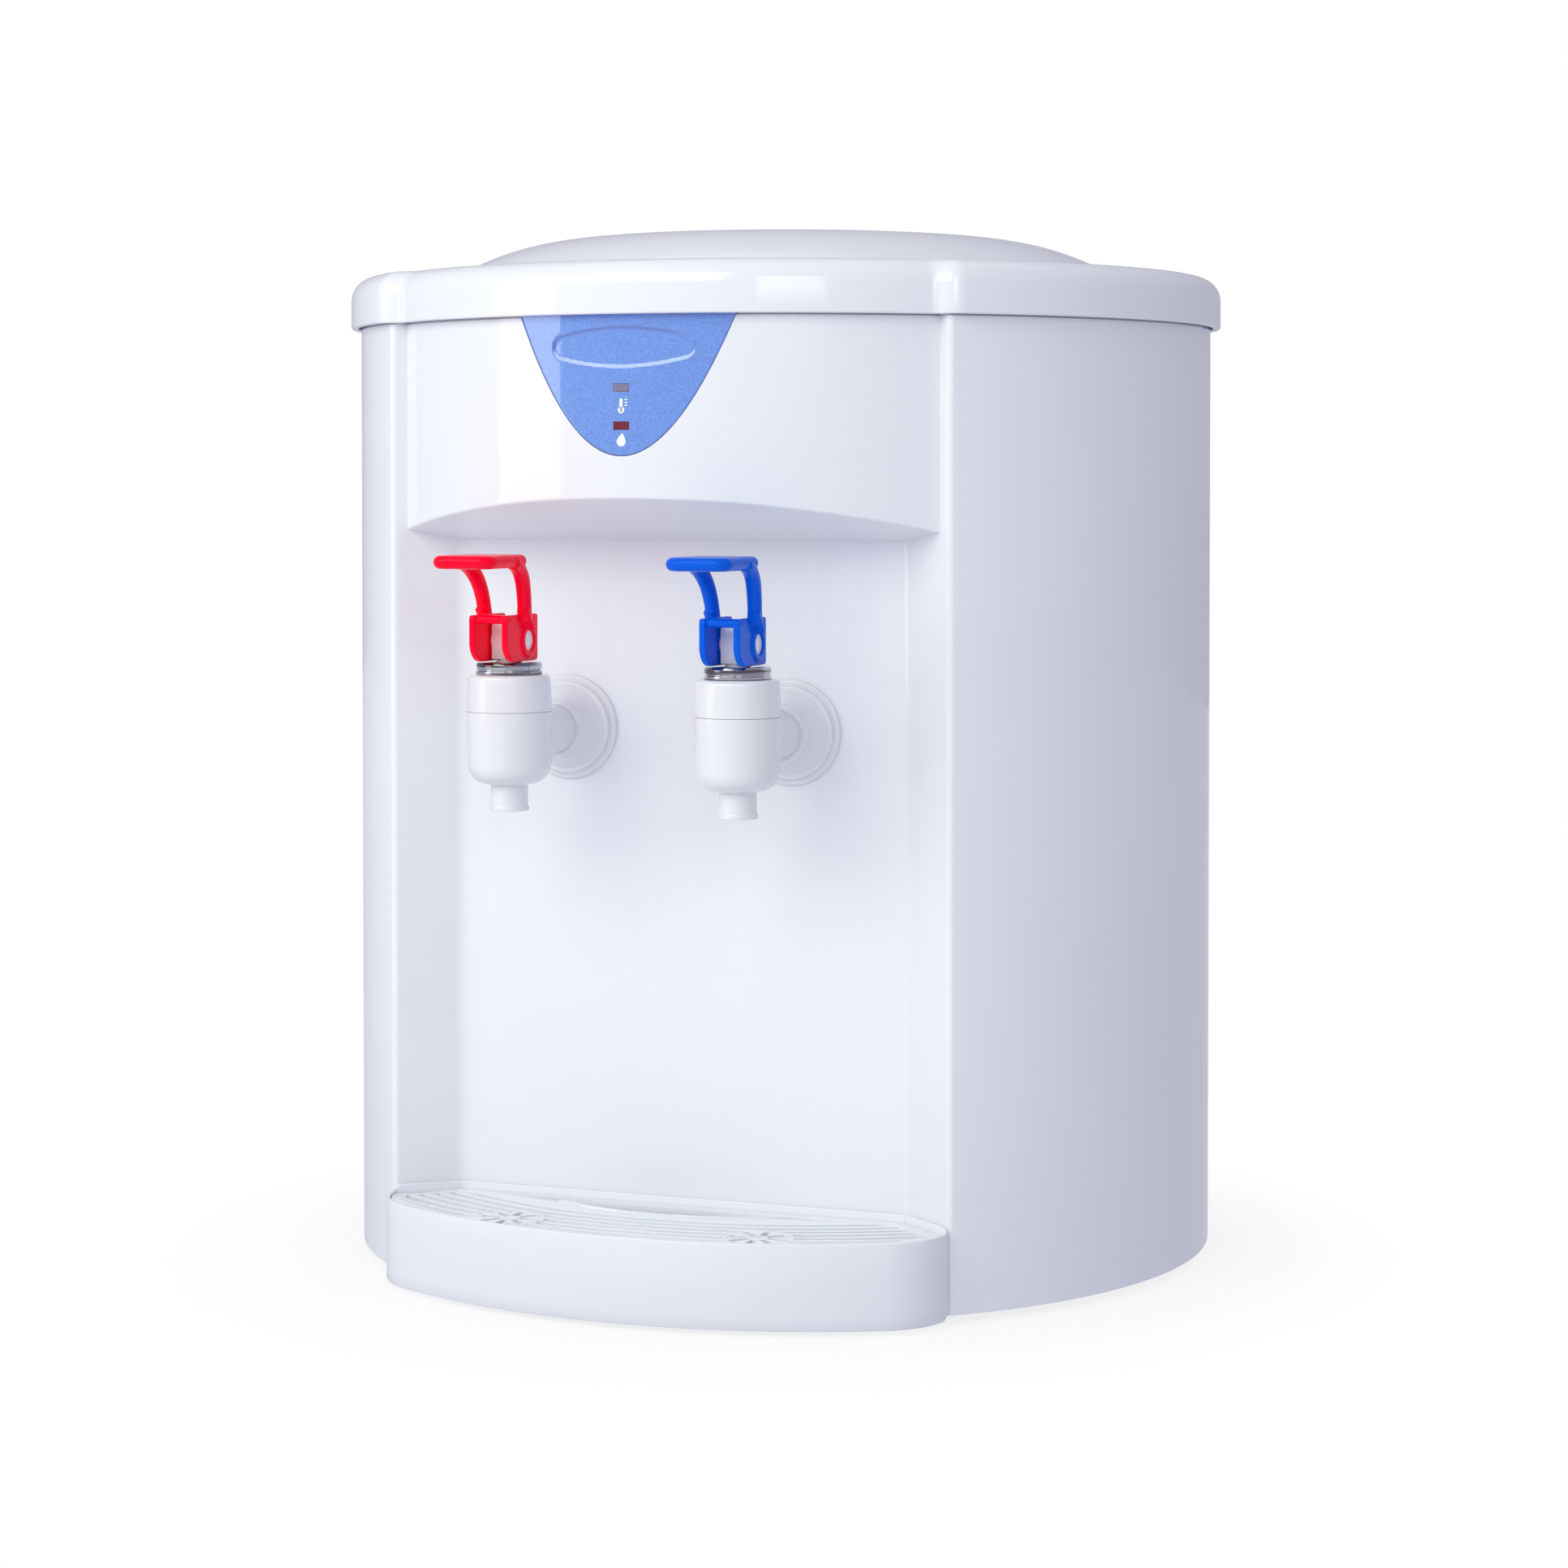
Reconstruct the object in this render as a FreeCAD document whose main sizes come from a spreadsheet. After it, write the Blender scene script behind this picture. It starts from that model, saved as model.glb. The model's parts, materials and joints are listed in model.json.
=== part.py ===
"""Countertop water dispenser with a hot tap and a normal tap, as a parametric FreeCAD document.

Local frame while modelling: the drum's axis is Z, the casing's lower edge is at z = 0, the taps
point to -Y.  finish() moves each sub-part by the same step, so that the row's origin lies on the
counter, under the middle of the overall box.  Lengths are millimetres.
"""
import FreeCAD, Part
import math
import os
import Sketcher

SIZES = {
    # drum-shaped casing
    "drum_radius": 150.0,
    "wall": 2.5,
    "corner_round": 4.0,
    "seam_back": 10.0,
    "lap_width": 8.0,
    "lap_wall": 1.6,
    # bowed fascia above the taps, and the niche under it
    "fascia_radius": 140.0,
    "fascia_inset": 5.4,
    "niche_recess": 13.98,
    "niche_half": 79.5,
    "niche_mouth": 97.0,
    "pilaster": 0.8,
    "niche_top": 246.6,
    "underside_front": 260.6,
    # top cover with its bottle collar
    "skirt_level": 319.3,
    "skirt_height": 17.7,
    "overhang": 3.5,
    "cover_wall": 2.5,
    "cover_round": 8.0,
    "rib_drop": 12.0,
    "collar_foot": 118.0,
    "collar_rise": 13.5,
    "collar_curve": 95.0,
    "rim_radius": 74.5,
    "rim_width": 3.0,
    "well_radius": 69.0,
    "well_depth": 29.0,
    "funnel_drop": 9.5,
    "throat_radius": 29.0,
    "throat_length": 16.0,
    # base, feet and screws
    "base_thick": 3.0,
    "tongue_half": 70.0,
    "tongue_inset": 6.0,
    "foot_height": 3.0,
    "foot_radius": 9.0,
    "foot_peg": 3.0,
    "foot_x": 78.0,
    "foot_y": 80.0,
    "boss_radius": 5.5,
    "boss_height": 15.0,
    "boss_angle": 36.0,
    "screw_radius": 1.6,
    "screw_head": 3.4,
    "head_height": 2.0,
    "screw_length": 12.0,
    # drip tray and its grille
    "bow_radius": 181.4,
    "bow_rise": 43.62,
    "bow_end": 25.2,
    "tray_height": 26.5,
    "tray_wall": 2.6,
    "tray_floor": 2.2,
    "skirt_lift": 0.6,
    "rim_wall": 1.3,
    "rim_step": 0.6,
    "back_lip": 2.0,
    "grille_thick": 2.2,
    "slot_count": 6.0,
    "slot_width": 2.4,
    "slot_pitch": 5.0,
    "slot_front": 6.4,
    "slot_margin": 6.5,
    "rosette_x": 43.5,
    "rosette_inset": 18.0,
    "rosette_radius": 11.5,
    "petal_count": 8.0,
    "petal_width": 2.4,
    "petal_start": 3.4,
    "petal_length": 5.6,
    "finger_half": 37.0,
    "finger_inset": 3.1,
    "finger_bulge": 8.7,
    "finger_lip": 1.2,
    "finger_lip_height": 0.8,
    "finger_margin": 3.0,
    # badge with two lamp windows
    "badge_half": 38.7,
    "badge_drop": 45.0,
    "badge_tuck": 3.0,
    "badge_thick": 1.2,
    "oval_level": 309.0,
    "oval_half": 22.0,
    "oval_end": 3.6,
    "oval_bulge": 2.6,
    "oval_line": 0.7,
    "oval_relief": 0.4,
    "lamp_width": 5.3,
    "lamp_height": 2.5,
    "keep_warm_level": 296.0,
    "heating_level": 283.9,
    "lamp_length": 6.0,
    "lamp_flange": 1.2,
    "board_width": 22.0,
    "board_height": 34.0,
    "board_thick": 1.6,
    "led_radius": 1.5,
    "led_length": 4.0,
    # taps
    "tap_x": 39.7,
    "arm_length": 47.6,
    "spout_level": 160.0,
    "spout_radius": 6.1,
    "spout_bore": 4.0,
    "spout_lip": 0.4,
    "barrel_bottom": 168.5,
    "barrel_radius": 13.6,
    "barrel_taper": 0.6,
    "barrel_round": 7.0,
    "seam_level": 192.0,
    "cap_top": 204.0,
    "cap_round": 1.5,
    "spigot_radius": 11.6,
    "spigot_height": 5.0,
    "chamber_radius": 10.0,
    "chamber_floor": 174.5,
    "seat_height": 1.0,
    "seat_width": 1.4,
    "arm_level": 184.0,
    "arm_radius": 8.0,
    "arm_bore": 3.0,
    "shank_radius": 7.0,
    "shank_length": 18.0,
    "barb_radius": 5.0,
    "barb_length": 12.0,
    "plate_radius": 17.3,
    "plate_thick": 1.6,
    "step_radius": 15.3,
    "step_thick": 2.0,
    "bell_mouth": 1.6,
    "bell_length": 8.0,
    "washer_radius": 13.0,
    "washer_thick": 2.0,
    "nut_across": 24.0,
    "nut_thick": 6.0,
    "collar_radius": 10.5,
    "collar_height": 4.0,
    "groove_depth": 0.4,
    "stem_radius": 4.0,
    "stem_bottom": 178.0,
    "head_half": 4.0,
    "head_depth": 9.0,
    "head_rise": 6.0,
    "pin_radius": 3.4,
    "pivot_rise": 7.1,
    "valve_radius": 8.8,
    "valve_height": 8.3,
    "spring_radius": 5.4,
    "spring_wire": 0.5,
    "spring_turns": 5.0,
    # lever
    "ear_outer": 6.8,
    "ear_thick": 2.1,
    "ear_back": 6.3,
    "ear_top": 8.4,
    "ear_corner": 1.5,
    "cam_forward": 8.0,
    "cam_gap": 0.3,
    "bar_height": 2.5,
    "ear_boss": 5.0,
    "ear_boss_height": 0.8,
    "leg_radius": 2.0,
    "leg_foot": 4.4,
    "leg_offset": 7.5,
    "leg_ahead": 2.5,
    "leg_spread": 2.0,
    "leg_bend": 9.0,
    "paddle_level": 25.7,
    "paddle_thick": 4.3,
    "paddle_half": 10.5,
    "paddle_start": 9.5,
    "paddle_length": 30.5,
    "paddle_round": 5.0,
    # reservoir, hot tank and plumbing
    "reservoir_radius": 78.0,
    "reservoir_bottom": 212.0,
    "reservoir_height": 80.0,
    "reservoir_wall": 2.0,
    "reservoir_round": 6.0,
    "seal_depth": 6.0,
    "seal_lip": 1.5,
    "reservoir_neck": 34.5,
    "shelf_thick": 3.0,
    "shelf_setback": 3.9,
    "shelf_rim": 8.0,
    "ledge_height": 12.0,
    "ledge_angle": 16.0,
    "neck_height": 14.0,
    "tank_x": -12.0,
    "tank_y": 5.0,
    "tank_radius": 52.0,
    "tank_bottom": 48.0,
    "tank_height": 110.0,
    "tank_wall": 1.0,
    "tank_round": 10.0,
    "stand_radius": 47.0,
    "stand_wall": 1.5,
    "stand_flange": 56.0,
    "stand_window": 26.0,
    "heater_level": 72.0,
    "heater_height": 24.0,
    "heater_wall": 3.0,
    "heater_lug": 8.0,
    "jacket_level": 98.0,
    "jacket_height": 46.0,
    "jacket_wall": 9.0,
    "thermostat_radius": 8.0,
    "thermostat_height": 8.0,
    "thermostat_y": 24.0,
    "stub_radius": 5.0,
    "stub_length": 10.0,
    "hose_radius": 7.5,
    "hose_bend": 12.0,
    "feed_x": 66.0,
    "feed_level": 62.0,
    "cold_stub_y": 42.0,
    "outlet_y": 14.0,
    "vent_y": 34.0,
    "clamp_width": 5.0,
    "clamp_wall": 0.8,
    # service face at the back
    "service_recess": 12.0,
    "service_half": 62.0,
    "service_bottom": 18.0,
    "service_top": 118.0,
    "switch_x": 36.0,
    "switch_level": 78.0,
    "bezel_width": 16.0,
    "bezel_height": 33.0,
    "bezel_thick": 2.0,
    "switch_width": 13.6,
    "switch_height": 28.6,
    "switch_depth": 18.0,
    "rocker_width": 10.6,
    "rocker_length": 25.0,
    "rocker_rise": 3.0,
    "rocker_depth": 6.0,
    "rocker_pin": 1.5,
    "rocker_tilt": 9.0,
    "gland_x": 36.0,
    "gland_level": 40.0,
    "gland_flange": 8.0,
    "gland_radius": 6.0,
    "gland_bore": 3.6,
    "gland_nose": 5.0,
    "drain_radius": 6.0,
    "drain_flange": 10.0,
    "drain_reach": 10.5,
    "drain_cap_wall": 2.2,
    "vent_rows": 6.0,
    "vent_pitch": 8.0,
    "vent_slot": 3.0,
    "vent_half": 26.0,
    "vent_level": 236.0,
    "block_width": 34.0,
    "block_height": 16.0,
    "block_depth": 18.0,
    "block_setback": 45.0,
    # clearances
    "fit": 0.3,
    "close_fit": 0.1,
    "running_fit": 0.05,
    "seat_gap": 0.2,
}

doc = FreeCAD.newDocument("WaterDispenser")
sheet = doc.addObject("Spreadsheet::Sheet", "Sizes")
for row, (alias, number) in enumerate(SIZES.items(), 1):
    sheet.set("A%d" % row, str(number))
    sheet.setAlias("A%d" % row, alias)
doc.recompute()


class Size:
    """A length with the sheet expression that gives it, so that it can be worked with as a number."""

    def __init__(self, value, text=None):
        self.value = float(value)
        self.bound = text is not None
        self.text = text if self.bound else repr(self.value)

    def joined(self, other, sign, value):
        text = "(%s %s %s)" % (self.text, sign, other.text)
        return Size(value, text if self.bound or other.bound else None)

    def __add__(self, other):
        other = size(other)
        return self.joined(other, "+", self.value + other.value)

    def __sub__(self, other):
        other = size(other)
        return self.joined(other, "-", self.value - other.value)

    def __mul__(self, other):
        other = size(other)
        return self.joined(other, "*", self.value * other.value)

    def __truediv__(self, other):
        other = size(other)
        return self.joined(other, "/", self.value / other.value)

    def __radd__(self, other):
        return size(other) + self

    def __rsub__(self, other):
        return size(other) - self

    def __rmul__(self, other):
        return size(other) * self

    def __neg__(self):
        return size(0) - self


def size(number):
    """Any number as a Size."""
    return number if isinstance(number, Size) else Size(number)


def root(number):
    """Square root of a Size."""
    return Size(math.sqrt(number.value), "sqrt(%s)" % number.text if number.bound else None)


def leg(hypotenuse, other):
    """The second leg of a right triangle."""
    return root(hypotenuse * hypotenuse - other * other)


class Named:
    """Each row of the sheet as an attribute."""

    def __getattr__(self, alias):
        return Size(SIZES[alias], "Sizes." + alias)


S = Named()


# ---------------------------------------------------------------- document helpers

def bind(thing, path, number):
    """Set a property and tie it to the sheet."""
    number = size(number)
    if "." not in path:
        setattr(thing, path, number.value)
    if number.bound:
        thing.setExpression(path, number.text)


def place(thing, x=0, y=0, z=0, turn=None):
    """Put an object at x, y, z, turned by a FreeCAD.Rotation."""
    spot = [size(x), size(y), size(z)]
    base = FreeCAD.Vector(*[number.value for number in spot])
    thing.Placement = FreeCAD.Placement(base, turn or FreeCAD.Rotation())
    for letter, number in zip("xyz", spot):
        bind(thing, "Placement.Base." + letter, number)
    return thing


def primitive(kind, name, **values):
    """A Part primitive with its properties tied to the sheet."""
    thing = doc.addObject("Part::" + kind, name)
    for key, number in values.items():
        bind(thing, key, number)
    return thing


def box(name, low, high):
    """A box between two corners."""
    low = [size(number) for number in low]
    high = [size(number) for number in high]
    thing = primitive("Box", name, Length=high[0] - low[0], Width=high[1] - low[1],
                      Height=high[2] - low[2])
    return place(thing, *low)


def rod(name, radius, length, x=0, y=0, z=0, along="z"):
    """A cylinder that starts at x, y, z and runs along one axis."""
    turns = {
        "x": FreeCAD.Rotation(FreeCAD.Vector(0, 1, 0), 90),
        "y": FreeCAD.Rotation(FreeCAD.Vector(1, 0, 0), -90),
        "z": FreeCAD.Rotation(),
    }
    thing = primitive("Cylinder", name, Radius=radius, Height=length)
    return place(thing, x, y, z, turns[along])


def fuse(name, *things):
    thing = doc.addObject("Part::MultiFuse", name)
    thing.Shapes = list(things)
    return thing


def common(name, first, second):
    thing = doc.addObject("Part::Common", name)
    thing.Base = first
    thing.Tool = second
    return thing


def cut(name, base, *tools):
    """The base less one tool or several."""
    thing = doc.addObject("Part::Cut", name)
    thing.Base = base
    thing.Tool = tools[0] if len(tools) == 1 else fuse(name + "_tools", *tools)
    return thing


def origin_plane(body, role):
    """One of the body's own origin planes, by its role."""
    return [item for item in body.Origin.OriginFeatures if item.Role == role][0]


def arc_between(start, end, radius):
    """The short arc from start to end: to the left if radius is above 0, else to the right."""
    across = end - start
    half = across.Length / 2
    left = FreeCAD.Vector(-across.y, across.x, 0).normalize()
    reach = math.sqrt(max(radius * radius - half * half, 0.0))
    centre = (start + end) / 2 + left * math.copysign(reach, radius)
    first, last = (start, end) if radius > 0 else (end, start)
    angles = [math.atan2(spot.y - centre.y, spot.x - centre.x) for spot in (first, last)]
    circle = Part.Circle(centre, FreeCAD.Vector(0, 0, 1), abs(radius))
    return Part.ArcOfCircle(circle, angles[0], angles[1])


def fix_point(sketch, item, end, x, y):
    """Tie a sketch point's two coordinates to the sheet."""
    for kind, axis, number in (("DistanceX", -2, size(x)), ("DistanceY", -1, size(y))):
        if number.value == 0 and not number.bound:
            sketch.addConstraint(Sketcher.Constraint("PointOnObject", item, end, axis))
        else:
            spot = sketch.addConstraint(Sketcher.Constraint(kind, item, end, number.value))
            if number.bound:
                sketch.setExpression("Constraints[%d]" % spot, number.text)


def fix_radius(sketch, item, radius):
    """Tie the radius of a circle or an arc to the sheet."""
    spot = sketch.addConstraint(Sketcher.Constraint("Radius", item, abs(radius.value)))
    if radius.bound:
        sign = "" if radius.value > 0 else "-"
        sketch.setExpression("Constraints[%d]" % spot, sign + radius.text)


def draw(sketch, corners, closed=True):
    """Draw an outline: each corner is (x, y), or (x, y, radius) where an arc leads up to it."""
    spots = [FreeCAD.Vector(size(c[0]).value, size(c[1]).value, 0) for c in corners]
    steps = range(len(corners) if closed else len(corners) - 1)
    ends = []
    for step in steps:
        after = (step + 1) % len(corners)
        if len(corners[after]) == 3:
            radius = size(corners[after][2])
            arc = arc_between(spots[step], spots[after], radius.value)
            item = sketch.addGeometry(arc, False)
            fix_radius(sketch, item, radius)
            ends.append((item, 1, 2) if radius.value > 0 else (item, 2, 1))
        else:
            item = sketch.addGeometry(Part.LineSegment(spots[step], spots[after]), False)
            ends.append((item, 1, 2))
    for step in steps:
        item, start, end = ends[step]
        fix_point(sketch, item, start, corners[step][0], corners[step][1])
        if step > 0 or closed:
            before = ends[step - 1]
            joint = Sketcher.Constraint("Coincident", before[0], before[2], item, start)
            sketch.addConstraint(joint)
    if not closed:
        item, start, end = ends[-1]
        fix_point(sketch, item, end, corners[-1][0], corners[-1][1])


def draw_circle(sketch, x, y, radius):
    centre = FreeCAD.Vector(size(x).value, size(y).value, 0)
    circle = Part.Circle(centre, FreeCAD.Vector(0, 0, 1), size(radius).value)
    item = sketch.addGeometry(circle, False)
    fix_point(sketch, item, 3, x, y)
    fix_radius(sketch, item, size(radius))


def sketch_on(body, role, shift, outlines, closed=True):
    """A sketch on one of the body's planes, moved along that plane's normal."""
    sketch = body.newObject("Sketcher::SketchObject", body.Name + "_sketch")
    sketch.AttachmentSupport = [(origin_plane(body, role), "")]
    sketch.MapMode = "FlatFace"
    shift = size(shift)
    offset = FreeCAD.Vector(0, 0, shift.value)
    sketch.AttachmentOffset = FreeCAD.Placement(offset, FreeCAD.Rotation())
    bind(sketch, "AttachmentOffset.Base.z", shift)
    for outline in outlines:
        if outline[0] == "circle":
            draw_circle(sketch, *outline[1:])
        else:
            draw(sketch, outline, closed)
    return sketch


def padded(name, role, shift, depth, *outlines):
    """A body with one pad, from a plane at shift along its normal for depth."""
    body = doc.addObject("PartDesign::Body", name)
    sketch = sketch_on(body, role, shift, outlines)
    pad = body.newObject("PartDesign::Pad", name + "_pad")
    pad.Profile = sketch
    bind(pad, "Length", depth)
    return body


def slab(name, low, high, *outlines):
    """Plan outlines in X, Y carried from height low to height high."""
    return padded(name, "XY_Plane", low, high - low, *outlines)


def side_slab(name, left, right, *outlines):
    """Side outlines in Y, Z carried from x = left to x = right."""
    return padded(name, "YZ_Plane", left, right - left, *outlines)


def front_slab(name, back, front, *outlines):
    """Front outlines in X, Z carried from y = back forwards to y = front."""
    return padded(name, "XZ_Plane", -size(back), size(back) - front, *outlines)


def turned(name, outline, x=0, y=0, z=0):
    """An outline of (radius, height) turned about an upright axis at x, y."""
    body = doc.addObject("PartDesign::Body", name)
    sketch = sketch_on(body, "XZ_Plane", 0, [outline])
    turn = body.newObject("PartDesign::Revolution", name + "_turn")
    turn.Profile = sketch
    turn.ReferenceAxis = (sketch, ["V_Axis"])
    turn.Angle = 360
    return place(body, x, y, z)


def turned_lying(name, outline, x, z):
    """An outline of (radius, y) turned about an axis along Y at x, z."""
    body = doc.addObject("PartDesign::Body", name)
    sketch = sketch_on(body, "XY_Plane", 0, [outline])
    turn = body.newObject("PartDesign::Revolution", name + "_turn")
    turn.Profile = sketch
    turn.ReferenceAxis = (sketch, ["V_Axis"])
    turn.Angle = 360
    return place(body, x, 0, z)


def rounded(body, name, radius, wanted):
    """Fillet the edges of the body's last feature that wanted() picks."""
    doc.recompute()
    tip = body.Tip
    edges = ["Edge%d" % (n + 1) for n, edge in enumerate(tip.Shape.Edges) if wanted(edge)]
    fillet = body.newObject("PartDesign::Fillet", name)
    fillet.Base = (tip, edges)
    bind(fillet, "Radius", radius)
    return body


def at_level(level):
    """Picks the edges that lie wholly at one height."""
    def wanted(edge):
        bounds = edge.BoundBox
        return abs(bounds.ZMin - level) < 1e-4 and abs(bounds.ZMax - level) < 1e-4
    return wanted


def hexagon(across, x, z):
    """A hexagon's corners from its width across flats."""
    radius = across / math.sqrt(3)
    turns = [math.radians(60 * step) for step in range(6)]
    return [(x + radius * math.cos(turn), z + radius * math.sin(turn)) for turn in turns]


# ---------------------------------------------------------------- shared levels and outlines

COVER_TOP = S.skirt_level + S.skirt_height
INNER_ROUND = S.cover_round - S.cover_wall
SKIRT_GAP = S.overhang - S.cover_wall
CASING_TOP = (COVER_TOP - S.cover_wall - INNER_ROUND
              + leg(INNER_ROUND, INNER_ROUND - SKIRT_GAP) - S.fit)
CORNER_X = S.niche_mouth + S.pilaster
CORNER_Y = leg(S.drum_radius - S.corner_round, CORNER_X)
FRONT_PLANE = CORNER_Y + S.corner_round
FASCIA_CENTRE = leg(S.fascia_radius, S.niche_mouth - S.fascia_inset) - FRONT_PLANE
FASCIA_REACH = S.fascia_radius - FASCIA_CENTRE
NICHE_BACK = FRONT_PLANE - S.niche_recess
SERVICE_BACK = S.drum_radius - S.service_recess
TAP_REACH = NICHE_BACK + S.arm_length
BOW_REACH = FRONT_PLANE + S.bow_rise
BOW_CENTRE = S.bow_radius - BOW_REACH
FINGER_BACK = FRONT_PLANE - S.finger_inset
ROSETTE_Y = BOW_REACH - S.rosette_inset
PIVOT_LEVEL = S.cap_top + S.collar_height + S.pivot_rise
FRONT_REACH = TAP_REACH + S.paddle_start + S.paddle_length
REAR_REACH = S.drum_radius + S.overhang
AXIS_BACK = (FRONT_REACH - REAR_REACH) / 2
CLEAR = 200.0

SPLAY = (S.niche_mouth - S.niche_half) / (FRONT_PLANE - NICHE_BACK)
SPLAY_FACTOR = root(SPLAY * SPLAY + 1)
CLIMB = (S.underside_front - S.niche_top) / (FASCIA_REACH - NICHE_BACK)
CLIMB_FACTOR = root(CLIMB * CLIMB + 1)


def drum_corner(grow):
    """Where the corner's rounding meets the drum, for an outline grown by grow."""
    share = (S.drum_radius + grow) / (S.drum_radius - S.corner_round)
    return CORNER_X * share, CORNER_Y * share


def front_outline(grow, back):
    """The front half of the drum in plan, from y = back round to the flat front plane."""
    radius = S.drum_radius + grow
    turn = S.corner_round + grow
    side = leg(radius, back)
    tx, ty = drum_corner(grow)
    front = -(FRONT_PLANE + grow)
    return [(-side, back), (-tx, -ty, radius), (-CORNER_X, front, turn), (CORNER_X, front),
            (tx, -ty, turn), (side, back, radius)]


def rear_outline(grow, back):
    """The rear half of the drum in plan, behind y = back."""
    radius = S.drum_radius + grow
    side = leg(radius, back)
    return [(side, back), (0, radius, radius), (-side, back, radius)]


def whole_outline(grow, with_fascia):
    """The drum in plan, all round, with or without the bow of the fascia."""
    radius = S.drum_radius + grow
    turn = S.corner_round + grow
    tx, ty = drum_corner(grow)
    front = FRONT_PLANE + grow
    fascia = []
    if with_fascia:
        bow = S.fascia_radius + grow
        end = leg(bow, front + FASCIA_CENTRE)
        fascia = [(-end, -front), (end, -front, bow)]
    return ([(0, radius, radius), (-tx, -ty, radius), (-CORNER_X, -front, turn)] + fascia
            + [(CORNER_X, -front), (tx, -ty, turn)])


def niche_side(ahead, grow):
    """Half width of the niche at a distance ahead of the axis."""
    return S.niche_half + SPLAY * (ahead - NICHE_BACK) + SPLAY_FACTOR * grow


def niche_tool(name, grow):
    """The space of the niche, its walls moved outwards by grow."""
    back = NICHE_BACK - grow
    far = BOW_REACH + S.bow_end
    plan = slab(name + "_plan", size(-CLEAR), size(CLEAR * 2),
                [(-niche_side(back, grow), -back), (-niche_side(far, grow), -far),
                 (niche_side(far, grow), -far), (niche_side(back, grow), -back)])

    def height(ahead):
        return S.niche_top + CLIMB * (ahead - NICHE_BACK) + CLIMB_FACTOR * grow

    side = side_slab(name + "_side", size(-CLEAR), size(CLEAR),
                     [(-back, -CLEAR), (-back, height(back)), (-far, height(far)),
                      (-far, -CLEAR)])
    return common(name, plan, side)


def splay_tool(name, grow):
    """The wedge of space between the niche's side walls, carried up to the lid."""
    far = BOW_REACH + S.bow_end
    return slab(name, size(-CLEAR), size(CLEAR * 3),
                [(-niche_side(NICHE_BACK, grow), -NICHE_BACK), (-niche_side(far, grow), -far),
                 (niche_side(far, grow), -far), (niche_side(NICHE_BACK, grow), -NICHE_BACK)])


def casing_form(name, grow, low, high):
    """The front casing's form without its holes: half drum with fascia, less the niche."""
    back = S.seam_back if grow.value == 0 else S.seam_back + S.wall
    drum = cut(name + "_splayed", slab(name + "_drum", low, high, front_outline(grow, back)),
               splay_tool(name + "_splay", -grow))
    bow = S.fascia_radius + grow
    behind = NICHE_BACK - 1
    end = leg(bow, behind + FASCIA_CENTRE)
    fascia = slab(name + "_fascia", low, high, [(-end, -behind), (end, -behind, bow)])
    return cut(name, fuse(name + "_whole", drum, fascia), niche_tool(name + "_niche", -grow))


def tray_outline(inset):
    """The drip tray in plan: a bow with round ends that run on into the sides of its tongue."""
    end = S.bow_end - inset
    centre_x = leg(S.bow_radius - S.bow_end, FRONT_PLANE + BOW_CENTRE)
    share = (S.bow_radius - inset) / (S.bow_radius - S.bow_end)
    touch_x = centre_x * share
    touch_y = BOW_CENTRE - (FRONT_PLANE + BOW_CENTRE) * share
    back = NICHE_BACK + S.fit + inset
    inner = niche_side(back, -S.fit - inset)
    across = niche_side(FRONT_PLANE, -S.fit - inset) - centre_x
    steep = SPLAY_FACTOR * SPLAY_FACTOR
    on = (root(steep * end * end - across * across) - across * SPLAY) / steep
    meet_x = centre_x + across + SPLAY * on
    meet_y = -FRONT_PLANE - on
    bow = S.bow_radius - inset
    return [(-inner, -back), (-meet_x, meet_y), (-touch_x, touch_y, end),
            (touch_x, touch_y, bow), (meet_x, meet_y, end), (inner, -back)]


def bow_outline(inset):
    """The bow of the drip tray's plan, without its tongue."""
    return tray_outline(inset)[1:-1]


def boss_spots(rear, angle="boss_angle"):
    """Centres of the two screw bosses, or of the shelf's two ledges, in one half of the casing."""
    reach = S.drum_radius - S.wall - S.boss_radius + 0.5
    turn = math.radians(SIZES[angle])
    ahead = reach * math.sin(turn) * (1 if rear else -1)
    across = reach * math.cos(turn)
    return [(-across, ahead), (across, ahead)]


def bosses(name, rear):
    """Upright screw bosses that grow from the casing's wall."""
    posts = [rod("%s_boss_%d" % (name, n), S.boss_radius, S.boss_height, x, y, S.base_thick)
             for n, (x, y) in enumerate(boss_spots(rear))]
    holes = [rod("%s_hole_%d" % (name, n), S.screw_radius + S.close_fit, S.screw_length, x, y,
                 S.base_thick - 1)
             for n, (x, y) in enumerate(boss_spots(rear))]
    ledge_top = S.reservoir_bottom - S.shelf_thick
    posts += [rod("%s_ledge_%d" % (name, n), S.boss_radius, S.ledge_height, x, y,
                  ledge_top - S.ledge_height)
              for n, (x, y) in enumerate(boss_spots(rear, "ledge_angle"))]
    return posts, holes


# ---------------------------------------------------------------- finished sub-parts

parts = []


def finish(thing, label):
    """Name a finished sub-part and move it from the drum's axis to the row's origin."""
    thing.Label = label
    where = thing.Placement.Base
    found = {}
    for path, text in thing.ExpressionEngine:
        found[path.lstrip(".")] = text
    steps = {"y": AXIS_BACK, "z": S.foot_height}
    for letter, step in steps.items():
        path = "Placement.Base." + letter
        own = Size(getattr(where, letter), found.get(path))
        bind(thing, path, own + step)
    thing.Placement.Base = where + FreeCAD.Vector(0, AXIS_BACK.value, SIZES["foot_height"])
    parts.append(thing)


# ---------------------------------------------------------------- casing

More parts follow.
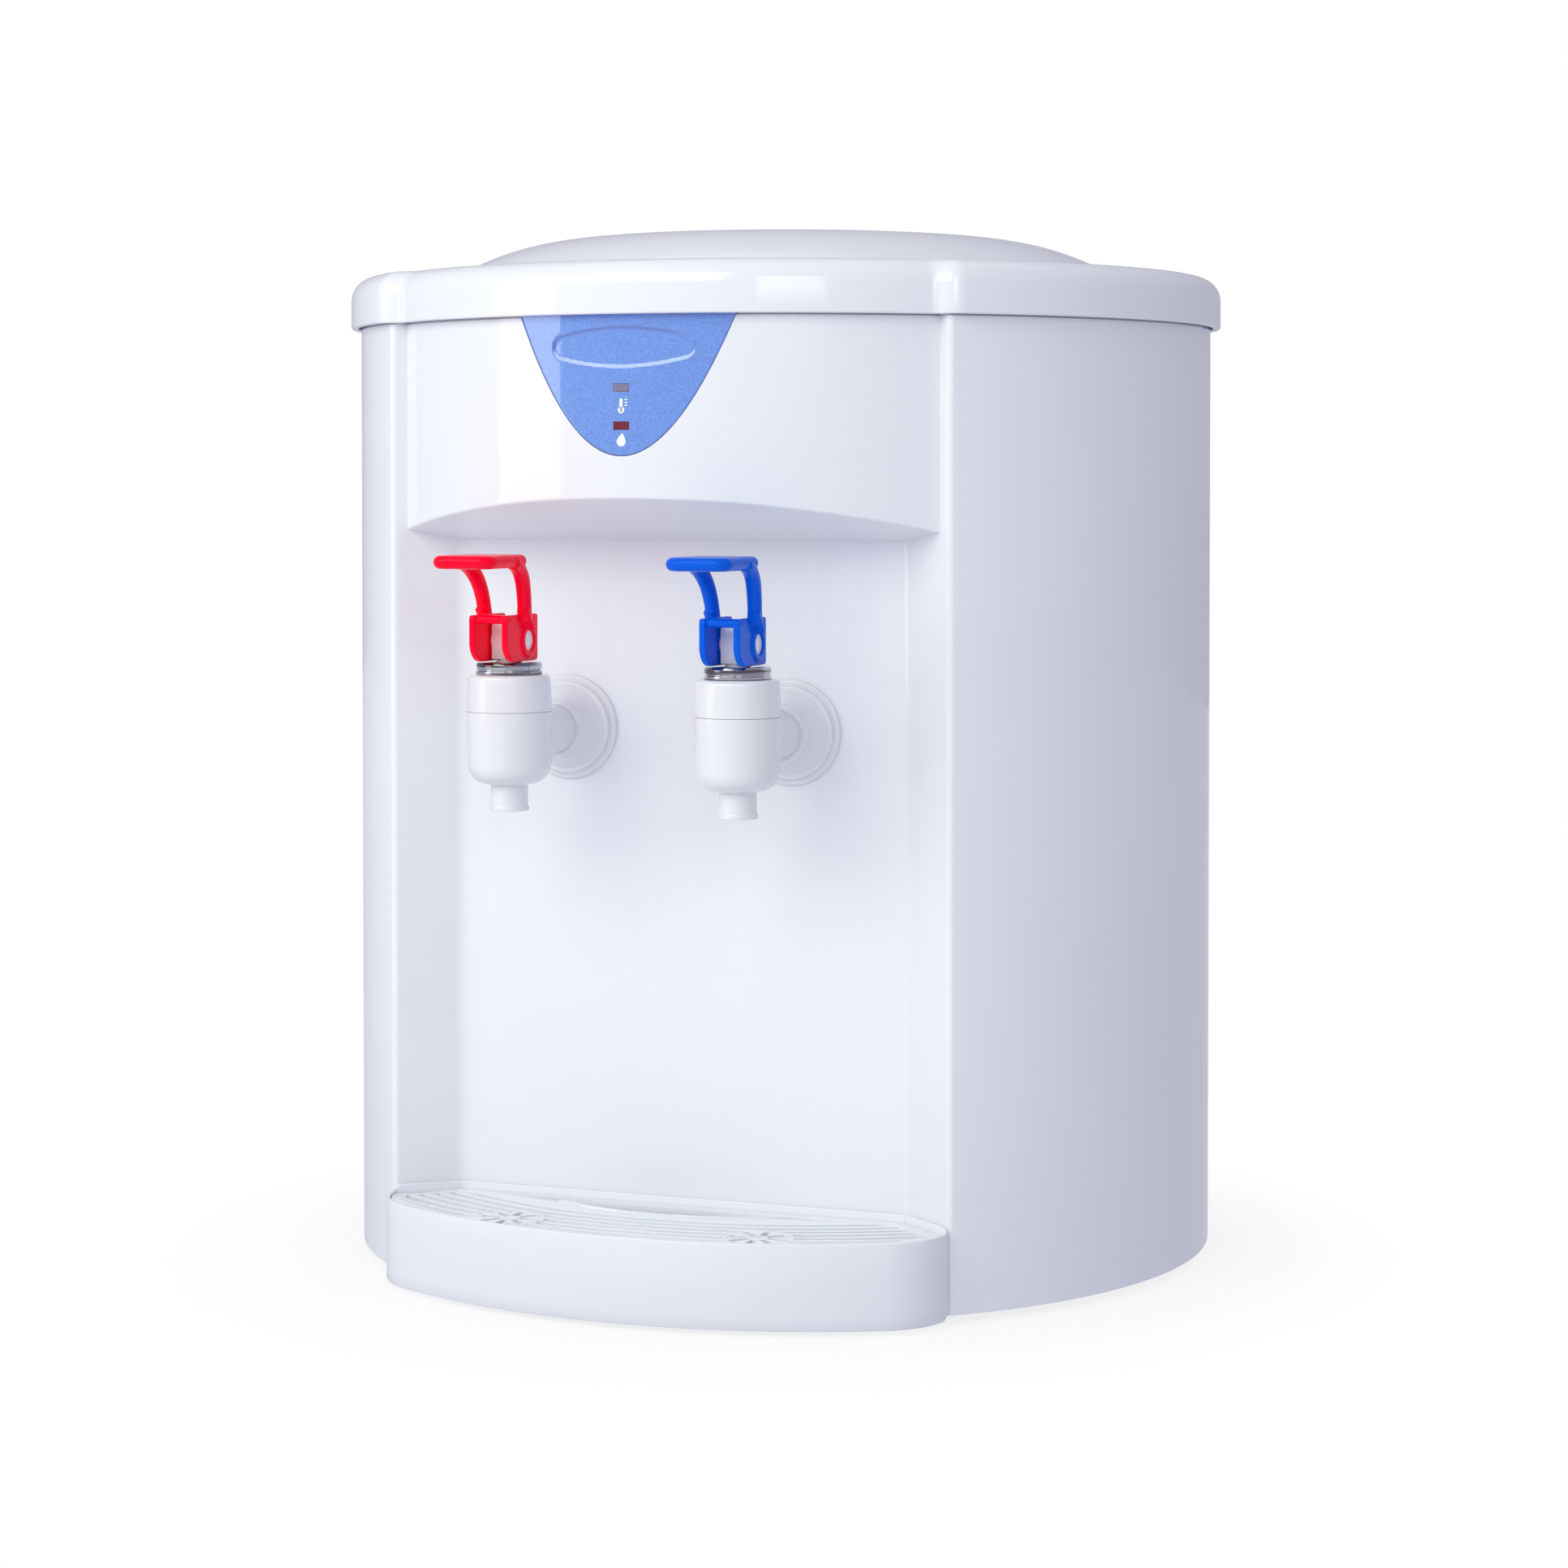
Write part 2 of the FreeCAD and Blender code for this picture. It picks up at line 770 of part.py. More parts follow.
def make_front_casing():
    outer = casing_form("front_outer", size(0), size(0), CASING_TOP)
    inner = casing_form("front_inner", -S.wall, size(-5), CASING_TOP + 5)
    posts, holes = bosses("front", False)
    shell = cut("front_shell", outer, inner)
    floor = slab("front_floor", size(-1), S.base_thick, front_outline(-S.wall, S.seam_back + 1))
    tools = list(holes)
    tools.append(badge_blank("badge_seat", S.close_fit, size(3)))
    for side in (-1, 1):
        tools.append(rod("tap_hole_%d" % (side + 1), S.shank_radius + S.fit, size(20),
                         side * S.tap_x, -NICHE_BACK - 10, S.arm_level, "y"))
    for level in (S.keep_warm_level, S.heating_level):
        tools.append(lamp_block("lamp_hole", level, S.close_fit, S.lamp_length + 4))
    bossed = fuse("front_bossed", cut("front_open", shell, floor), *posts)
    finish(cut("front_casing", bossed, *tools), "front_casing")


def make_rear_casing():
    def recess(name, grow):
        return box(name, (-S.service_half - grow, SERVICE_BACK - grow, S.service_bottom - grow),
                   (S.service_half + grow, S.drum_radius + CLEAR, S.service_top + grow))

    outer = cut("rear_outer", slab("rear_drum", size(0), CASING_TOP,
                                   rear_outline(size(0), S.seam_back)), recess("recess", size(0)))
    inner = cut("rear_inner", slab("rear_hollow", size(-5), CASING_TOP + 5,
                                   rear_outline(-S.wall, S.seam_back - 1)),
                recess("recess_back", S.wall))
    posts, holes = bosses("rear", True)
    low = S.base_thick + S.fit + 3
    high = CASING_TOP - S.rib_drop - 3
    lap = S.drum_radius - S.wall - S.fit
    ring = slab("lap_ring", low, high, ("circle", 0, 0, lap), ("circle", 0, 0, lap - S.lap_wall))
    heel = slab("lap_heel", low, high, ("circle", 0, 0, lap + S.fit + 0.5),
                ("circle", 0, 0, lap - S.lap_wall))
    reach = S.drum_radius + 5
    strip = common("lap_strip", ring, box("lap_box", (-reach, S.seam_back - S.lap_width, 0),
                                          (reach, S.seam_back + S.lap_width, CASING_TOP)))
    foot = common("lap_foot", heel, box("heel_box", (-reach, S.seam_back, 0),
                                        (reach, S.seam_back + S.lap_width, CASING_TOP)))
    tools = list(holes)
    half = S.switch_width / 2 + S.close_fit
    tall = S.switch_height / 2 + S.close_fit
    tools.append(box("switch_hole", (S.switch_x - half, SERVICE_BACK - 10, S.switch_level - tall),
                     (S.switch_x + half, SERVICE_BACK + 10, S.switch_level + tall)))
    tools.append(rod("gland_hole", S.gland_radius + S.close_fit, size(20), S.gland_x,
                     SERVICE_BACK - 10, S.gland_level, "y"))
    tools.append(rod("drain_hole", S.drain_radius + S.close_fit, size(20), S.tank_x,
                     SERVICE_BACK - 10, S.feed_level, "y"))
    for step in range(int(SIZES["vent_rows"])):
        low = S.vent_level + step * S.vent_pitch
        tools.append(box("vent_slot", (-S.vent_half, S.drum_radius - 20, low),
                         (S.vent_half, S.drum_radius + 5, low + S.vent_slot)))
    whole = fuse("rear_whole", cut("rear_shell", outer, inner), strip, foot, *posts)
    finish(cut("rear_casing", whole, *tools), "rear_casing")


def make_base_plate():
    plate = slab("plate", size(0), S.base_thick, whole_outline(-S.wall - S.fit, False))
    bow = S.bow_radius - S.tongue_inset
    ahead = leg(bow, S.tongue_half) - BOW_CENTRE
    tongue = slab("tongue", size(0), S.base_thick,
                  [(-S.tongue_half, -NICHE_BACK), (-S.tongue_half, -ahead),
                   (S.tongue_half, -ahead, bow), (S.tongue_half, -NICHE_BACK)])
    tools = []
    for x, y in boss_spots(False) + boss_spots(True):
        tools.append(rod("base_screw_hole", S.screw_radius + S.close_fit, S.base_thick + 2, x, y, -1))
        tools.append(rod("base_head_hole", S.screw_head + S.fit, S.head_height + 1, x, y, -1))
    for x in (-S.foot_x, S.foot_x):
        for y in (-S.foot_y, S.foot_y):
            tools.append(rod("peg_hole", S.foot_peg + S.close_fit, S.base_thick + 2, x, y, -1))
    finish(cut("base_plate", fuse("base_whole", plate, tongue), *tools), "base_plate")


def make_feet():
    feet = []
    for x in (-S.foot_x, S.foot_x):
        for y in (-S.foot_y, S.foot_y):
            top = S.base_thick
            feet.append(turned("foot", [(0, -S.foot_height), (S.foot_radius - 1, -S.foot_height),
                                        (S.foot_radius, 0), (S.foot_peg, 0), (S.foot_peg, top),
                                        (0, top)], x, y))
    finish(compound("rubber_feet", feet), "rubber_feet")


def make_base_screws():
    screws = []
    for x, y in boss_spots(False) + boss_spots(True):
        screws.append(turned("base_screw", [(0, 0.2), (S.screw_head, 0.2),
                                            (S.screw_head, S.head_height),
                                            (S.screw_radius, S.head_height),
                                            (S.screw_radius, S.screw_length - 2),
                                            (0, S.screw_length)], x, y))
    finish(compound("base_screws", screws), "base_screws")


def compound(name, things):
    thing = doc.addObject("Part::Compound", name)
    thing.Links = things
    return thing


def make_top_cover():
    outer = slab("cover_outer", S.skirt_level, COVER_TOP, whole_outline(S.overhang, True))
    rounded(outer, "cover_edge", S.cover_round, at_level(COVER_TOP.value))
    inner_top = COVER_TOP - S.cover_wall
    inner = slab("cover_inner", S.skirt_level - 5, inner_top, whole_outline(SKIRT_GAP, True))
    rounded(inner, "cover_inner_edge", INNER_ROUND, at_level(inner_top.value))
    opening = rod("cover_hole", S.collar_foot - 1, size(CLEAR), 0, 0, S.skirt_level)
    shell = cut("cover_shell", outer, inner, opening)
    rim = COVER_TOP + S.collar_rise
    wall = S.cover_wall
    well = rim - S.well_depth
    funnel = well - S.funnel_drop
    throat = funnel - S.throat_length
    bend = S.rim_width / 2
    collar = turned("collar", [
        (S.collar_foot, inner_top), (S.collar_foot, COVER_TOP),
        (S.rim_radius, rim, S.collar_curve), (S.rim_radius - S.rim_width, rim - bend, bend * 1.12),
        (S.well_radius, well), (S.throat_radius, funnel), (S.throat_radius, throat),
        (S.throat_radius + wall, throat), (S.throat_radius + wall, funnel - wall),
        (S.well_radius + wall, well - wall), (S.rim_radius - bend + wall / 2, rim - wall * 1.6),
        (S.collar_foot - wall, inner_top, -(S.collar_curve))])
    lap = S.drum_radius - S.wall - S.fit
    ring = slab("cover_ring", inner_top - S.rib_drop, inner_top, ("circle", 0, 0, lap),
                ("circle", 0, 0, lap - S.cover_wall))
    rib = cut("cover_rib", ring, box("rib_front", (-CLEAR, -CLEAR, 0),
                                     (CLEAR, -NICHE_BACK + 10, CLEAR * 2)))
    finish(fuse("top_cover", shell, collar, rib), "top_cover")


# ---------------------------------------------------------------- drip tray

TRAY_UNDER = S.base_thick + S.seat_gap
TRAY_FLOOR = TRAY_UNDER + S.tray_floor
GRILLE_TOP = S.tray_height - S.rim_step
GRILLE_UNDER = GRILLE_TOP - S.grille_thick
GRILLE_SEAT = GRILLE_UNDER - S.seat_gap


def make_drip_tray():
    bow = cut("tray_bow", slab("tray_body", S.skirt_lift, S.tray_height, tray_outline(size(0))),
              box("tray_behind", (-CLEAR, -FRONT_PLANE - S.fit, -CLEAR), (CLEAR, CLEAR, CLEAR)))
    deck = slab("tray_deck", TRAY_UNDER, S.tray_height, tray_outline(size(0)))
    edge = slab("tray_edge", TRAY_FLOOR, S.tray_height + S.back_lip, tray_outline(size(0)))
    ahead = box("tray_ahead", (-CLEAR, -CLEAR * 2, -CLEAR), (CLEAR, -FRONT_PLANE, CLEAR))
    lip = cut("tray_lip", edge, ahead)
    under = slab("tray_under", size(-1), TRAY_UNDER, bow_outline(S.tray_wall))
    way = S.tongue_half + S.fit
    gate = box("tongue_way", (-way, -FRONT_PLANE - S.tray_wall * 2, -1),
               (way, -FRONT_PLANE + 1, TRAY_UNDER))
    basin = slab("tray_basin", TRAY_FLOOR, S.tray_height + 5, tray_outline(S.tray_wall))
    seat = slab("tray_seat", GRILLE_SEAT, S.tray_height + 5, tray_outline(S.rim_wall))
    whole = fuse("tray_whole", bow, deck, lip)
    finish(cut("drip_tray", whole, under, gate, basin, seat), "drip_tray")


def make_grille():
    plate = slab("grille_plate", GRILLE_UNDER, GRILLE_TOP, tray_outline(S.rim_wall + S.fit))
    circles = []
    for step in range(int(SIZES["slot_count"])):
        middle = S.bow_radius - S.slot_front - step * S.slot_pitch
        circles.append(("circle", 0, BOW_CENTRE, middle + S.slot_width / 2))
        circles.append(("circle", 0, BOW_CENTRE, middle - S.slot_width / 2))
    rings = slab("slot_rings", size(0), S.tray_height + 5, *circles)
    window = slab("slot_window", size(0), S.tray_height + 5, tray_outline(S.slot_margin))
    guard = slab("finger_guard", size(0), S.tray_height + 10, finger_lens(S.finger_margin))
    pads = [rod("rosette_pad", S.rosette_radius, S.tray_height + 10, side * S.rosette_x,
                -ROSETTE_Y, 0) for side in (-1, 1)]
    slots = common("grille_slots", rings, cut("slot_area", window, guard, *pads))
    petals = [make_petals("petals", side * S.rosette_x) for side in (-1, 1)]
    rim = slab("finger_rim", GRILLE_UNDER, GRILLE_TOP + S.finger_lip_height,
               finger_lens(S.finger_lip))
    hole = slab("finger_hole", size(0), S.tray_height + 10, finger_lens(size(0)))
    whole = fuse("grille_whole", cut("grille_slotted", plate, slots, *petals), rim)
    finish(cut("drip_grille", whole, hole), "drip_grille")


def finger_lens(grow):
    """The finger opening in plan: a long lens, its front arc fuller than its back one."""
    half = S.finger_half + grow * 2
    front = S.finger_bulge + grow
    back = S.finger_lip + grow
    level = -FINGER_BACK

    def bow(rise):
        return (half * half + rise * rise) / (2 * rise)

    return [(-half, level, bow(back)), (half, level, bow(front))]


def make_petals(name, x):
    """A ring of short radial openings, patterned from one."""
    body = doc.addObject("PartDesign::Body", name)
    half = S.petal_width / 2
    start = S.petal_start
    end = S.petal_start + S.petal_length
    sketch = sketch_on(body, "XY_Plane", 0, [[(start, -half), (end, -half), (end, half, half * 1.05),
                                              (start, half)]])
    pad = body.newObject("PartDesign::Pad", name + "_pad")
    pad.Profile = sketch
    bind(pad, "Length", S.tray_height + 10)
    pattern = body.newObject("PartDesign::PolarPattern", name + "_pattern")
    pattern.Originals = [pad]
    pattern.Axis = (sketch, ["N_Axis"])
    pattern.Angle = 360
    pattern.Occurrences = int(SIZES["petal_count"])
    body.Tip = pattern
    return place(body, x, -ROSETTE_Y, 0)


# ---------------------------------------------------------------- badge and lamps

def badge_blank(name, grow, proud):
    """The badge's shield, a parabola in front view, within the fascia's skin."""
    top = S.skirt_level + S.badge_tuck + grow
    half = S.badge_half + grow
    drop = S.badge_drop + S.badge_tuck + grow * 2
    left = FreeCAD.Vector(-half.value, 0, top.value)
    right = FreeCAD.Vector(half.value, 0, top.value)
    pull = FreeCAD.Vector(0, 0, top.value - 2 * drop.value)
    curve = Part.BezierCurve()
    curve.setPoles([left, pull, right])
    wire = Part.Wire([curve.toShape(), Part.makeLine(right, left)])
    prism = doc.addObject("Part::Feature", name + "_prism")
    prism.Shape = Part.Face(wire).extrude(FreeCAD.Vector(0, -CLEAR, 0))
    skin = slab(name + "_skin", S.niche_top, CASING_TOP + 20,
                ("circle", 0, FASCIA_CENTRE, S.fascia_radius + proud),
                ("circle", 0, FASCIA_CENTRE, S.fascia_radius - S.badge_thick))
    return common(name, skin, prism)


def oval(half, end, bulge):
    """A long oval: two shallow arcs joined by two round ends."""
    shallow = (half * half + bulge * bulge) / (2 * bulge)
    centre = S.oval_level
    return [(-half, centre - end), (half, centre - end, shallow),
            (half, centre + end, end * 1.02), (-half, centre + end, shallow)]


def close_oval(corners, end):
    """Give the oval's first corner the arc that closes it."""
    first = corners[0]
    return [(first[0], first[1], end * 1.02)] + corners[1:]


def lamp_block(name, level, grow, length):
    """The straight part of a lamp window, back from the fascia's apex."""
    half = S.lamp_width / 2 + grow
    tall = S.lamp_height / 2 + grow
    front = -FASCIA_REACH - (size(1) if grow.value > 0 else size(0))
    return box(name, (-half, front, level - tall), (half, front + length, level + tall))


def make_badge():
    blank = badge_blank("badge_blank", size(0), size(0))
    line = S.oval_line
    outer = close_oval(oval(S.oval_half, S.oval_end, S.oval_bulge), S.oval_end)
    inner = close_oval(oval(S.oval_half, S.oval_end - line, S.oval_bulge), S.oval_end - line)
    band = front_slab("oval_band", size(-CLEAR / 2), size(-CLEAR), outer, inner)
    skin = slab("oval_skin", S.niche_top, CASING_TOP,
                ("circle", 0, FASCIA_CENTRE, S.fascia_radius + S.oval_relief),
                ("circle", 0, FASCIA_CENTRE, S.fascia_radius - S.badge_thick / 2))
    whole = fuse("badge_whole", blank, common("oval_ring", band, skin))
    holes = [lamp_block("badge_hole", level, S.close_fit, S.lamp_length)
             for level in (S.keep_warm_level, S.heating_level)]
    finish(cut("badge_plate", whole, *holes), "badge_plate")


def make_lamps():
    back = -FASCIA_REACH + S.wall + S.fit
    flange = 1.0
    for label, level in (("keep_warm_window", S.keep_warm_level),
                         ("heating_window", S.heating_level)):
        pipe = lamp_block(label + "_pipe", level, size(0), S.lamp_length)
        half = S.lamp_width / 2 + flange
        tall = S.lamp_height / 2 + flange
        collar = box(label + "_collar", (-half, back, level - tall),
                     (half, back + S.lamp_flange, level + tall))
        finish(fuse(label, pipe, collar), label)
    near = -FASCIA_REACH + S.lamp_length + S.led_length + S.seat_gap
    middle = (S.keep_warm_level + S.heating_level) / 2
    board = box("board", (-S.board_width / 2, near, middle - S.board_height / 2),
                (S.board_width / 2, near + S.board_thick, middle + S.board_height / 2))
    lamps = [rod("led", S.led_radius, S.led_length, 0, near - S.led_length, level, "y")
             for level in (S.keep_warm_level, S.heating_level)]
    stand = S.board_width / 2 - 2
    posts = [box("board_post", (side * stand - 1.5, -leg(S.fascia_radius - S.wall, stand)
                                + FASCIA_CENTRE + 0.3, middle - 3),
                 (side * stand + 1.5, near, middle + 3)) for side in (-1, 1)]
    finish(fuse("lamp_board", board, *lamps, *posts), "lamp_board")


# ---------------------------------------------------------------- taps

def make_tap(side, x):
    """One tap: body, cap, metal collar, stem, valve, spring, wall plate, washer and nut."""
    y = -TAP_REACH
    low = S.barrel_radius - S.barrel_taper + 0.1
    barrel = turned(side + "_barrel", [
        (0, S.spout_level), (S.spout_radius + S.spout_lip, S.spout_level),
        (S.spout_radius + S.spout_lip, S.spout_level + 0.8), (S.spout_radius, S.spout_level + 1.4),
        (S.spout_radius, S.barrel_bottom), (S.spout_radius + 1, S.barrel_bottom),
        (low, S.barrel_bottom + S.barrel_round + 0.5, S.barrel_round),
        (S.barrel_radius, S.seam_level), (S.spigot_radius, S.seam_level),
        (S.spigot_radius, S.seam_level + S.spigot_height), (0, S.seam_level + S.spigot_height)],
        x, y)
    wall_face = -NICHE_BACK
    shank_end = wall_face + S.wall + S.shank_length
    arm = turned_lying(side + "_arm", [
        (0, y), (S.arm_radius, y), (S.arm_radius, wall_face - S.fit),
        (S.shank_radius, wall_face - S.fit), (S.shank_radius, shank_end),
        (S.barb_radius, shank_end), (S.barb_radius, shank_end + S.barb_length),
        (0, shank_end + S.barb_length)], x, S.arm_level)
    seat = S.spout_bore + S.seat_width
    chamber = turned(side + "_chamber", [
        (0, S.spout_level - 1), (S.spout_bore, S.spout_level - 1),
        (S.spout_bore, S.chamber_floor + S.seat_height), (seat, S.chamber_floor + S.seat_height),
        (seat, S.chamber_floor), (S.chamber_radius, S.chamber_floor),
        (S.chamber_radius, S.cap_top), (0, S.cap_top)], x, y)
    bore = rod(side + "_bore", S.arm_bore, TAP_REACH, x, y, S.arm_level, "y")
    finish(cut(side + "_tap_body", fuse(side + "_tap_whole", barrel, arm), chamber, bore),
           side + "_tap_body")

    stem_hole = S.stem_radius + S.fit + 0.1
    spigot = S.spigot_radius + S.fit / 2
    roof = S.cap_top - 4
    edge = S.barrel_radius - S.barrel_taper
    finish(turned(side + "_cap", [
        (spigot, S.seam_level + S.seat_gap), (S.barrel_radius, S.seam_level + S.seat_gap),
        (edge, S.cap_top - S.cap_round), (edge - S.cap_round, S.cap_top, S.cap_round),
        (stem_hole, S.cap_top), (stem_hole, roof), (spigot, roof)], x, y), side + "_tap_cap")

    top = S.cap_top + S.collar_height
    ring = S.collar_radius
    dip = S.groove_depth
    finish(turned(side + "_collar", [
        (stem_hole, S.cap_top), (ring, S.cap_top), (ring, S.cap_top + 1.2),
        (ring - dip, S.cap_top + 1.2 + dip), (ring - dip, top - 1.2 - dip), (ring, top - 1.2),
        (ring, top - dip), (ring - dip, top), (stem_hole, top)], x, y), side + "_tap_collar")

    shaft = rod(side + "_shaft", S.stem_radius, PIVOT_LEVEL - S.stem_bottom, x, y, S.stem_bottom)
    half = S.head_depth / 2
    head_low = top + 1
    head_top = PIVOT_LEVEL + S.head_rise
    head = side_slab(side + "_head", -S.head_half, S.head_half,
                     [(-half, head_low), (half, head_low), (half, head_top - 2),
                      (half - 2, head_top, size(2)), (-half + 2, head_top),
                      (-half, head_top - 2, size(2))])
    place(head, x, y, 0)
    pin_half = S.ear_outer - S.running_fit
    pin = rod(side + "_pin", S.pin_radius, pin_half * 2, x - pin_half, y, PIVOT_LEVEL, "x")
    finish(fuse(side + "_stem", shaft, head, pin), side + "_tap_stem")

    rest = S.chamber_floor + S.seat_height + S.seat_gap
    crown = rest + S.valve_height
    neck = S.stem_radius + S.close_fit
    finish(turned(side + "_valve", [
        (0, rest), (S.valve_radius - 2, rest), (S.valve_radius, rest + 1.8),
        (S.valve_radius, rest + 3.8), (S.spring_radius + 0.9, crown), (neck, crown),
        (neck, S.stem_bottom - S.close_fit), (0, S.stem_bottom - S.close_fit)], x, y),
        side + "_tap_valve")
    make_spring(side, x, y, crown, roof)

    plate_front = wall_face - S.plate_thick
    step_front = plate_front - S.step_thick
    hole = S.arm_radius + S.close_fit
    bell_front = step_front - S.bell_length
    bell = hole + S.bell_mouth
    shoulder = S.step_radius - 1.5
    hollow = ((shoulder - bell) * (shoulder - bell) + S.bell_length * S.bell_length) / (
        2 * S.bell_length)
    finish(turned_lying(side + "_plate", [
        (hole, wall_face), (hole, bell_front), (bell, bell_front),
        (shoulder, step_front, -(hollow * 1.25)), (S.step_radius, step_front),
        (S.step_radius, plate_front), (S.plate_radius, plate_front), (S.plate_radius, wall_face)],
        x, S.arm_level), side + "_tap_wall_plate")

    inner = wall_face + S.wall
    washer = rod(side + "_washer_disc", S.washer_radius, S.washer_thick, x, inner, S.arm_level, "y")
    through = rod(side + "_washer_hole", S.shank_radius + S.close_fit, size(30), x, inner - 1,
                  S.arm_level, "y")
    finish(cut(side + "_washer", washer, through), side + "_tap_washer")
    nut = front_slab(side + "_nut_blank", inner + S.washer_thick + S.nut_thick,
                     inner + S.washer_thick, hexagon(S.nut_across, x, S.arm_level),
                     ("circle", x, S.arm_level, S.shank_radius + S.close_fit))
    finish(nut, side + "_tap_nut")


def make_spring(side, x, y, low, high):
    """The valve's return spring: a round wire wound between the valve and the cap."""
    wire = SIZES["spring_wire"]
    height = high.value - low.value - 2 * wire - 0.2
    helix = Part.makeHelix(height / SIZES["spring_turns"], height, SIZES["spring_radius"])
    start = FreeCAD.Vector(SIZES["spring_radius"], 0, 0)
    section = Part.Wire([Part.makeCircle(wire, start, FreeCAD.Vector(0, 1, 0))])
    coil = doc.addObject("Part::Feature", side + "_spring")
    coil.Shape = Part.Wire(helix.Edges).makePipeShell([section], True, True)
    place(coil, x, y, low + wire + 0.1)
    finish(coil, side + "_tap_spring")


def make_lever(side, x):
    """A lever: two cam ears on the stem's pin, two bent legs and a flat paddle."""
    y = -TAP_REACH
    z = PIVOT_LEVEL
    cam = S.pivot_rise - S.cam_gap
    nose = S.cam_forward + cam
    corner = S.ear_corner
    profile = [(S.ear_back - corner, -cam + 0.4), (S.ear_back, -cam + 0.4 + corner, corner),
               (S.ear_back, S.ear_top - corner), (S.ear_back - corner, S.ear_top, corner),
               (-nose + corner, S.ear_top), (-nose, S.ear_top - corner, corner), (-nose, 0),
               (-S.cam_forward, -cam, cam), (S.ear_back - corner - 2, -cam)]
    ears = side_slab(side + "_ears", -S.ear_outer, S.ear_outer, profile)
    inner = S.ear_outer - S.ear_thick
    slot = box(side + "_ear_slot", (-inner, -nose + S.bar_height, -20), (inner, 20, 20))
    below = box(side + "_bar_under", (-inner, -30, -20), (inner, 20, S.ear_top - S.bar_height))
    bosses_out = [rod("%s_ear_boss_%d" % (side, n), S.ear_boss, S.ear_boss_height + 1,
                      start, 0, 0, "x")
                  for n, start in enumerate((-S.ear_outer - S.ear_boss_height, S.ear_outer - 1))]
    hole = rod(side + "_ear_hole", S.pin_radius + S.running_fit, size(40), -20, 0, 0, "x")
    fork = cut(side + "_fork", fuse(side + "_ear_pair", cut(side + "_ear_open", ears, slot, below),
                                    *bosses_out), hole)

    start = S.paddle_start
    end = S.paddle_start + S.paddle_length
    wide = S.paddle_half
    soft = S.paddle_round
    low = S.paddle_level - S.paddle_thick / 2
    high = S.paddle_level + S.paddle_thick / 2
    paddle = slab(side + "_paddle", low, high, [
        (-wide + soft, -end, soft), (wide - soft, -end), (wide, -end + soft, soft),
        (wide, -start - soft), (wide - soft, -start, soft), (-wide + soft, -start),
        (-wide, -start - soft, soft), (-wide, -end + soft)])
    bar_round = S.paddle_thick * 0.46
    rounded(paddle, side + "_paddle_top", bar_round, at_level(high.value))
    rounded(paddle, side + "_paddle_low", bar_round, at_level(low.value))
    legs = [make_leg(side, hand) for hand in (-1, 1)]
    whole = fuse(side + "_lever", fork, paddle, *legs)
    whole.Refine = False
    place(whole, x, y, z)
    finish(whole, side + "_tap_lever")


def make_leg(side, hand):
    """A round leg that rises from an ear and bends forwards and outwards into the paddle."""
    name = "%s_leg_%s" % (side, "left" if hand < 0 else "right")
    body = doc.addObject("PartDesign::Body", name)
    ring = sketch_on(body, "XY_Plane", 0, [("circle", 0, 0, S.leg_radius)])
    rise = S.paddle_level - S.leg_foot
    bend = S.leg_bend
    path = sketch_on(body, "YZ_Plane", 0, [[(0, 0), (0, rise - bend), (-bend, rise, bend),
                                            (-bend - 3, rise)]], closed=False)
    pipe = body.newObject("PartDesign::AdditivePipe", name + "_pipe")
    pipe.Profile = ring
    pipe.Spine = (path, ["Edge1", "Edge2", "Edge3"])
    lean = math.degrees(math.atan2(SIZES["leg_spread"], SIZES["leg_bend"]))
    turn = FreeCAD.Rotation(FreeCAD.Vector(0, 0, 1), hand * lean)
    return place(body, hand * S.leg_offset, -S.leg_ahead, S.leg_foot, turn)


# ---------------------------------------------------------------- water system inside

def stub(name, x, y, low, length):
    """An upright hose stub."""
    return rod(name, S.stub_radius, length, x, y, low)


def make_reservoir():
    bottom = S.reservoir_bottom
    top = bottom + S.reservoir_height
    out = S.reservoir_radius
    wall = S.reservoir_wall
    neck = S.reservoir_neck
    turn = S.reservoir_round
    vessel = turned("vessel", [
        (0, bottom), (out - turn, bottom), (out, bottom + turn, turn), (out, top - turn),
        (out - turn, top, turn), (neck + wall, top), (neck + wall, top + S.neck_height),
        (neck, top + S.neck_height), (neck, top - wall), (out - turn, top - wall),
        (out - wall, top - turn, -(turn - wall)), (out - wall, bottom + turn),
        (out - turn, bottom + wall, -(turn - wall)), (0, bottom + wall)])
    spots = [(S.tap_x, -S.cold_stub_y), (S.feed_x, S.tank_y), (S.tank_x, S.vent_y)]
    stubs = [stub("reservoir_stub", x, y, bottom - S.stub_length, S.stub_length + 1)
             for x, y in spots]
    bores = [rod("reservoir_bore", S.arm_bore, S.stub_length + 10, x, y, bottom - S.stub_length - 1)
             for x, y in spots]
    finish(cut("reservoir", fuse("reservoir_whole", vessel, *stubs), *bores), "reservoir")
    tube = S.throat_radius + S.cover_wall
    rim = top + S.neck_height
    finish(turned("reservoir_seal", [
        (tube + S.close_fit, rim - S.seal_depth), (neck - S.close_fit, rim - S.seal_depth),
        (neck - S.close_fit, rim), (neck + wall, rim), (neck + wall, rim + S.seal_lip),
        (tube + S.close_fit, rim + S.seal_lip)]), "reservoir_seal")


